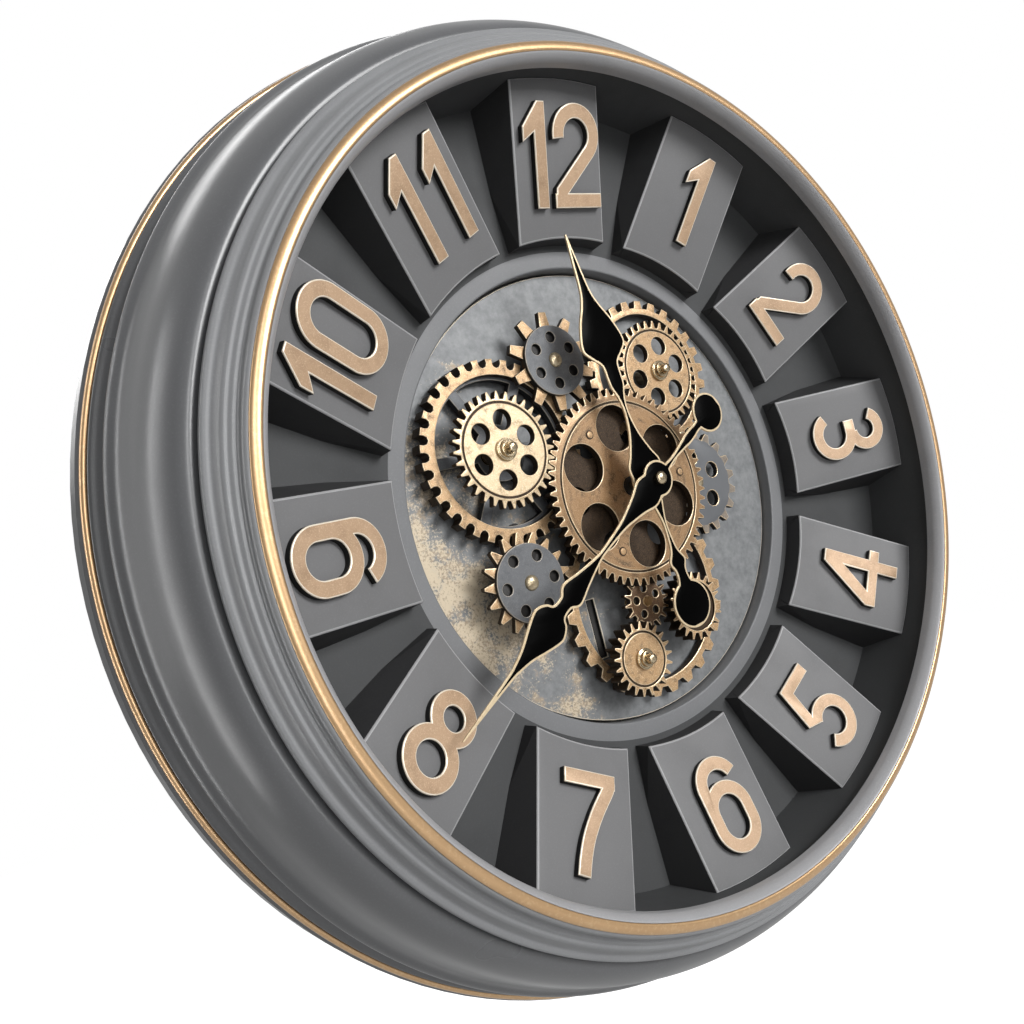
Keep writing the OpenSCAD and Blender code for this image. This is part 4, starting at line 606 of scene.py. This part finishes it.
bronze = ("gearBronze", "gearEdge", "gearSide", "gearRecess")
greyCast = ("gearGrey", "gearGreyEdge", "gearGreySide", "gearGreySide")
gearLooks = [
    # node, piece, body, slot, finishes
    ("left_ring_gear", "leftRingGear", "clock", "gear_bronze", bronze),
    ("left_spoke_wheel", "leftSpokeWheel", "clock", "gear_grey", greyCast),
    ("upper_ring_gear", "upperRingGear", "clock", "gear_bronze", bronze),
    ("lower_ring_gear", "lowerRingGear", "clock", "gear_bronze", bronze),
    ("right_fixed_gear", "rightFixedGear", "clock", "gear_grey",
        ("greyWheel", "gearEdge", "gearGreySide", "gearGreySide")),
    ("top_left_gear", "topLeftGear", "clock", "gear_bronze",
        ("starUpper", "gearEdge", "gearSide", "gearRecess")),
    ("top_left_disc", "topLeftDisc", "clock", "gear_grey", greyCast),
    ("bottom_left_gear", "bottomLeftGear", "clock", "gear_bronze",
        ("starLower", "gearEdge", "gearSide", "gearRecess")),
    ("bottom_left_disc", "bottomLeftDisc", "clock", "gear_grey", greyCast),
    ("centre_gear", "centreGear", "centre_gear_group", "gear_bronze",
        ("gearWiped", "gearEdge", "gearSide", "gearRecess")),
    ("rear_wheel", "rearWheel", "centre_gear_group", "gear_dark",
        ("wheelWiped", "gearEdge", "gearSide", "gearRecess")),
    ("left_gear", "leftGear", "left_gear_group", "gear_bronze",
        ("gearPale", "gearEdge", "gearSide", "gearRecess")),
    ("upper_right_gear", "upperRightGear", "upper_gear_group", "gear_bronze", bronze),
    ("idler_gear", "idlerGear", "idler_group", "gear_dark",
        ("darkBronze", "gearEdge", "gearSide", "gearRecess")),
    ("lower_gear", "lowerGear", "lower_gear_group", "gear_bronze", bronze),
    ("small_gear", "smallGear", "small_gear_group", "gear_bronze", bronze),
]
for nodeName, name, body, slotName, looks in gearLooks:
    dressNode(nodeName, name, body, slotName, *looks, level=0.1)
for nodeName, name, body in (("left_gear_hub", "leftGearHub", "left_gear_group"),
        ("upper_gear_hub", "upperGearHub", "upper_gear_group"),
        ("lower_gear_hub", "lowerGearHub", "lower_gear_group"),
        ("small_gear_hub", "smallGearHub", "small_gear_group")):
    dressNode(nodeName, name, body, "brass", "turnedBrass", "turnedBrass", "turnedBrass")
for nodeName, name, slotName, finish in (("gear_studs", "gearStuds", "brass", "turnedBrass"),
        ("gear_rivets", "gearRivets", "steel", "paleRivet"),
        ("gear_standoffs", "gearStandoffs", "black_metal", "blackSteel"),
        ("centre_sleeve", "centreSleeve", "steel", "blackSteel")):
    dressNode(nodeName, name, "clock", slotName, finish, finish, finish, edgeWidth=0)
dressNode("hand_cap", "handCap", "minute_group", "brass", "turnedBrass", "turnedBrass",
    "turnedBrass", edgeWidth=0, smooth=45)


# three rivets hold the centre gear to the wheel behind it
rivets = dict(count=3, ring=42.3, first=2, radius=2.8, step=0.3, rim=0.7, head=0.5,
    edge=0.35, sides=32)


def makeRivets():
    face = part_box("centre_gear")[0][1] / mm
    for number in range(rivets["count"]):
        angle = math.radians(rivets["first"] + 360 / rivets["count"] * number)
        deselectAll()
        bpy.ops.mesh.primitive_cylinder_add(vertices=rivets["sides"],
            radius=rivets["radius"] * mm,
            depth=2 * rivets["step"] * mm, location=(rivets["ring"] * mm * math.cos(angle),
            face * mm, rivets["ring"] * mm * math.sin(angle)), rotation=(math.pi / 2, 0, 0))
        piece = bpy.context.object
        piece.name = "centreGearRivet%d" % (number + 1)
        bpy.ops.object.transform_apply(location=True, rotation=True, scale=True)
        setFinish(piece, "gearRecess", "gearBronze")
        pickFaces(piece, lambda polygon: polygon.normal.dot(front) > 0.9)
        bpy.ops.object.mode_set(mode="EDIT")
        bpy.ops.mesh.select_mode(type="FACE")
        bpy.ops.mesh.inset(thickness=rivets["rim"] * mm)
        bpy.ops.mesh.extrude_region_move(TRANSFORM_OT_translate={
            "value": (0, -rivets["head"] * mm, 0)})
        bpy.ops.mesh.bevel(offset=rivets["edge"] * mm, offset_type="OFFSET", segments=3,
            profile=0.5, affect="EDGES", clamp_overlap=True, material=1)
        bpy.ops.object.mode_set(mode="OBJECT")
        for polygon in piece.data.polygons:
            away = math.hypot(polygon.center.x - rivets["ring"] * mm * math.cos(angle),
                polygon.center.z - rivets["ring"] * mm * math.sin(angle)) / mm
            if away < rivets["radius"] - rivets["rim"] - 0.1:
                polygon.material_index = 1
        smoothByAngle(piece, 40)
        finishPiece(piece, "centre_gear_group", "gear_bronze")


makeRivets()
print("gears dressed")


hands = {
    "hour": dict(length=153.5, height=43.2, angle=353.8, hub=0.088, disc=0.097, discAt=-0.515,
        node="hour_hand", body="hour_group",
        half=[(1, 0.003), (0.9, 0.013), (0.78, 0.025), (0.72, 0.045), (0.66, 0.078),
            (0.6, 0.102), (0.565, 0.11), (0.54, 0.105), (0.51, 0.075), (0.478, 0.042),
            (0.43, 0.038), (0.39, 0.035), (0.34, 0.017), (0.28, 0.0115), (0.2, 0.025),
            (0.12, 0.058), (0.07, 0.085), (0.02, 0.08)],
        tail=[(-0.09, 0.028), (-0.17, 0.0105), (-0.24, 0.012), (-0.29, 0.02),
            (-0.335, 0.043), (-0.37, 0.03), (-0.4, 0.029), (-0.425, 0.036)]),
    "minute": dict(length=199, height=50.8, angle=238.6, hub=0.056, disc=0.063,
        discAt=-0.318, node="minute_hand", body="minute_group",
        half=[(1, 0.002), (0.8, 0.009), (0.757, 0.014), (0.71, 0.025), (0.66, 0.045),
            (0.612, 0.061), (0.588, 0.058), (0.566, 0.044), (0.552, 0.0255), (0.52, 0.0235),
            (0.504, 0.035), (0.49, 0.041), (0.47, 0.039), (0.42, 0.0255), (0.345, 0.0105),
            (0.3, 0.009), (0.218, 0.013), (0.17, 0.0215), (0.117, 0.035), (0.07, 0.051),
            (0.03, 0.045)],
        tail=[(-0.045, 0.013), (-0.097, 0.0085), (-0.16, 0.0135), (-0.185, 0.017),
            (-0.215, 0.017), (-0.24, 0.0145), (-0.262, 0.0165)]),
}
handThickness = 1.2
plateY = 23.849
enamel = dict(border=1.25, thickness=0.2, edge=0.12, least=0.12)


def halfWidthAt(table, s):
    for (s0, h0), (s1, h1) in zip(table, table[1:]):
        if min(s0, s1) <= s <= max(s0, s1) and s0 != s1:
            return h0 + (h1 - h0) * (s - s0) / (s1 - s0)
    return -1


def enamelOutline(look, border, step=0.5):
    # half widths of the black inside, a border in from the edge of the hand
    length = look["length"]
    blade = smoothCurve([(a * length, b * length) for a, b in look["half"]], 5)
    tail = smoothCurve([(a * length, b * length) for a, b in look["tail"]], 5)
    hub, disc, discAt = (look[k] * length for k in ("hub", "disc", "discAt"))

    def outer(s):
        widths = [halfWidthAt(blade, s), halfWidthAt(tail, s)]
        if tail[0][0] <= s <= 0:
            widths.append(tail[0][1])
        if abs(s) < hub:
            widths.append(math.sqrt(hub * hub - s * s))
        if abs(s - discAt) < disc:
            widths.append(math.sqrt(disc * disc - (s - discAt) ** 2))
        return max(widths)

    rows = []
    s = discAt - disc + border
    while s < length:
        reach = [border * (k / 6 - 1) for k in range(13)]
        inner = min(outer(s + d) - math.sqrt(max(border * border - d * d, 0)) for d in reach)
        if inner > enamel["least"]:
            rows.append((s, inner))
        elif len(rows) > 40:
            break
        s += step
    return rows


def makeEnamel(name, look):
    rows = enamelOutline(look, enamel["border"])
    outline = [(w, s) for s, w in rows] + [(-w, s) for s, w in reversed(rows)]
    deselectAll()
    bpy.ops.mesh.primitive_circle_add(vertices=len(outline), radius=look["length"] * mm,
        fill_type="NGON")
    piece = bpy.context.object
    piece.name = name
    turn = math.radians(look["angle"])
    level = (plateY - look["height"] - handThickness) * mm
    for vertex, (x, s) in zip(piece.data.vertices, outline):
        vertex.co = ((x * math.cos(turn) + s * math.sin(turn)) * mm, level,
            (s * math.cos(turn) - x * math.sin(turn)) * mm)
    bpy.ops.object.mode_set(mode="EDIT")
    bpy.ops.mesh.select_all(action="SELECT")
    bpy.ops.mesh.extrude_region_move(TRANSFORM_OT_translate={
        "value": (0, -enamel["thickness"] * mm, 0)})
    bpy.ops.mesh.select_all(action="SELECT")
    bpy.ops.mesh.normals_make_consistent(inside=False)
    bpy.ops.object.mode_set(mode="OBJECT")
    pickFaces(piece, lambda polygon: polygon.normal.dot(front) > 0.9)
    bpy.ops.object.mode_set(mode="EDIT")
    bpy.ops.mesh.select_mode(type="FACE")
    bpy.ops.mesh.region_to_loop()
    bpy.ops.mesh.bevel(offset=enamel["edge"] * mm, offset_type="OFFSET", segments=2, profile=0.5,
        affect="EDGES", clamp_overlap=False)
    bpy.ops.object.mode_set(mode="OBJECT")
    setFinish(piece, "handEnamel")
    smoothByAngle(piece, 35)
    finishPiece(piece, look["body"], "hand_enamel")


for handName, look in hands.items():
    dressNode(look["node"], handName + "Hand", look["body"], "hand_enamel", "handGilt",
        "handGilt", "handGilt", edgeWidth=0.2, level=0.1)
    makeEnamel(handName + "HandEnamel", look)
print("hands made")


# the rear ring takes the drum's darker enamel, painted shade
carried = {
    "rear_ring": "drumShadeEnamel", "plate_backer": "blackBoard", "drive_shaft": "turnedBrass",
    "hour_tube": "turnedBrass", "minute_shaft": "turnedBrass", "movement_case": "blackAbs",
    "movement_cover": "blackAbs", "set_knob": "whiteAbs", "batteries": "cellWrap",
    "gear_motor_case": "blackAbs", "motor_switch": "whiteAbs", "back_panel": "blackBoard",
    "hanger_plate": "zincSteel", "back_screws": "zincSteel",
}
for nodeName, finish in carried.items():
    part = nodes[nodeName]
    if not part.material_slots:
        part.data.materials.append(materials[finish])
    for slot in part.material_slots:
        slot.material = materials[finish]


stage = dict(size=9, place=(0, 1, -1.1), colour="#b0b0b0", glow=0.9, inGloss=0.35)


def makeFloor():
    deselectAll()
    bpy.ops.mesh.primitive_plane_add(size=stage["size"], location=stage["place"])
    floor = bpy.context.object
    floor.name = "floor"
    material = bpy.data.materials.new("paleFloor")
    material.use_nodes = True
    tree = material.node_tree
    tree.nodes.clear()
    path = addNode(tree, "LightPath")
    gloss = addNode(tree, "Math", {1: stage["inGloss"]}, {0: path.outputs["Is Glossy Ray"]},
        operation="MULTIPLY")
    seen = addNode(tree, "Math", links={0: path.outputs["Is Camera Ray"],
        1: gloss.outputs[0]}, operation="MAXIMUM")
    seenAll = addNode(tree, "Math", links={0: seen.outputs[0],
        1: path.outputs["Is Transmission Ray"]}, operation="MAXIMUM")
    glow = addNode(tree, "Math", {1: stage["glow"]}, {0: seenAll.outputs[0]},
        operation="MULTIPLY")
    emission = addNode(tree, "Emission", links={"Strength": glow.outputs[0]})
    matt = addNode(tree, "BsdfDiffuse", {"Color": toLinear(stage["colour"])})
    both = addNode(tree, "AddShader", links={0: matt.outputs[0], 1: emission.outputs[0]})
    addNode(tree, "OutputMaterial", links={"Surface": both.outputs[0]})
    floor.data.materials.append(material)


makeFloor()

world = bpy.data.worlds.new("studio")
scene.world = world
world.use_nodes = True
worldTree = world.node_tree
worldTree.nodes.clear()
path = addNode(worldTree, "LightPath")
seen = addNode(worldTree, "Math", links={0: path.outputs["Is Camera Ray"],
    1: path.outputs["Is Transmission Ray"]}, operation="MAXIMUM")
# what gloss shows: white behind the object, a soft ring of light beside it, a dimmer room
# in front; each pair is how far back the direction points and how bright it is there
room = [(-1, 0.5), (-0.3, 0.3), (0.08, 0.22), (0.22, 1), (0.36, 1), (0.5, 0.22), (0.74, 0.22),
    (0.9, 1)]
aim = addNode(worldTree, "SeparateXYZ",
    links={"Vector": addNode(worldTree, "TexCoord").outputs["Generated"]})
back = addNode(worldTree, "MapRange", {"From Min": -1.0, "From Max": 1.0},
    {"Value": aim.outputs["Y"]})
ramp = addNode(worldTree, "ValToRGB", links={"Fac": back.outputs["Result"]})
ramp.color_ramp.elements.remove(ramp.color_ramp.elements[0])
for number, (reach, level) in enumerate(room):
    stop = ramp.color_ramp.elements[0] if number == 0 else ramp.color_ramp.elements.new(0.5)
    stop.position = (reach + 1) / 2
    stop.color = (level, level, level, 1)
# soft light on the object itself, more of it from above
ambient = dict(lowZ=-0.3, highZ=0.9, low=0.1, high=0.4)
fromAbove = addNode(worldTree, "MapRange", {"From Min": ambient["lowZ"],
    "From Max": ambient["highZ"], "To Min": ambient["low"], "To Max": ambient["high"]},
    {"Value": aim.outputs["Z"]})
shown = addNode(worldTree, "Mix", links={"Factor": path.outputs["Is Glossy Ray"],
    "A": fromAbove.outputs["Result"], "B": ramp.outputs["Color"]}, data_type="RGBA")
strength = addNode(worldTree, "Mix", {"B": (1, 1, 1, 1)},
    {"Factor": seen.outputs[0], "A": shown.outputs["Result"]}, data_type="RGBA")
sky = addNode(worldTree, "Background", {"Strength": 1.0},
    {"Color": strength.outputs["Result"]})
addNode(worldTree, "OutputWorld", links={"Surface": sky.outputs[0]})

lamps = [
    # name, place, width and height in m, watts, seen only as a reflection
    ("keyLight", (0.9, -2.4, 1.0), 1.1, 1.1, 66, False),
    ("fillLight", (-0.9, -2.4, 0.5), 1.4, 1.4, 8, False),
    ("farStrip", (-1.73, 0.67, 0.0), 0.16, 3.4, 14, True),
    ("nearStrip", (-1.82, 0.36, 0.0), 0.1, 3.4, 8, True),
    ("beadPanel", (-0.75, -2.4, 0.0), 0.5, 3.4, 26, True),
    ("backLight", (0.3, 2.0, 1.2), 1.6, 1.6, 30, False),
]
for name, place, width, height, watts, glossOnly in lamps:
    light = bpy.data.lights.new(name, "AREA")
    light.shape = "RECTANGLE"
    light.size = width
    light.size_y = height
    light.energy = watts
    lamp = bpy.data.objects.new(name, light)
    lamp.location = place
    lamp.rotation_euler = (-Vector(place)).to_track_quat("-Z", "Y").to_euler()
    lamp.visible_diffuse = not glossOnly
    lamp.visible_camera = False
    scene.collection.objects.link(lamp)

view = dict(place=(-0.3893, -0.45125, -0.00875), turn=35.49, lift=-1.06, roll=-14.51,
    lens=33.66, shiftX=-0.038, shiftY=0.027, sensor=36, near=0.01)
camera = bpy.data.objects.new("camera", bpy.data.cameras.new("camera"))
scene.collection.objects.link(camera)
turn, lift, roll = (math.radians(view[k]) for k in ("turn", "lift", "roll"))
ahead = Vector((math.sin(turn) * math.cos(lift), math.cos(turn) * math.cos(lift),
    math.sin(lift)))
right = ahead.cross(Vector((0, 0, 1))).normalized()
up = right.cross(ahead)
right2 = math.cos(roll) * right + math.sin(roll) * up
up2 = -math.sin(roll) * right + math.cos(roll) * up
camera.matrix_world = Matrix((
    (right2.x, up2.x, -ahead.x, view["place"][0]),
    (right2.y, up2.y, -ahead.y, view["place"][1]),
    (right2.z, up2.z, -ahead.z, view["place"][2]),
    (0, 0, 0, 1)))
camera.data.lens = view["lens"]
camera.data.sensor_width = view["sensor"]
camera.data.clip_start = view["near"]
camera.data.shift_x = view["shiftX"]
camera.data.shift_y = view["shiftY"]
scene.camera = camera
scene.view_settings.view_transform = "Standard"
print("stage, light and camera set")
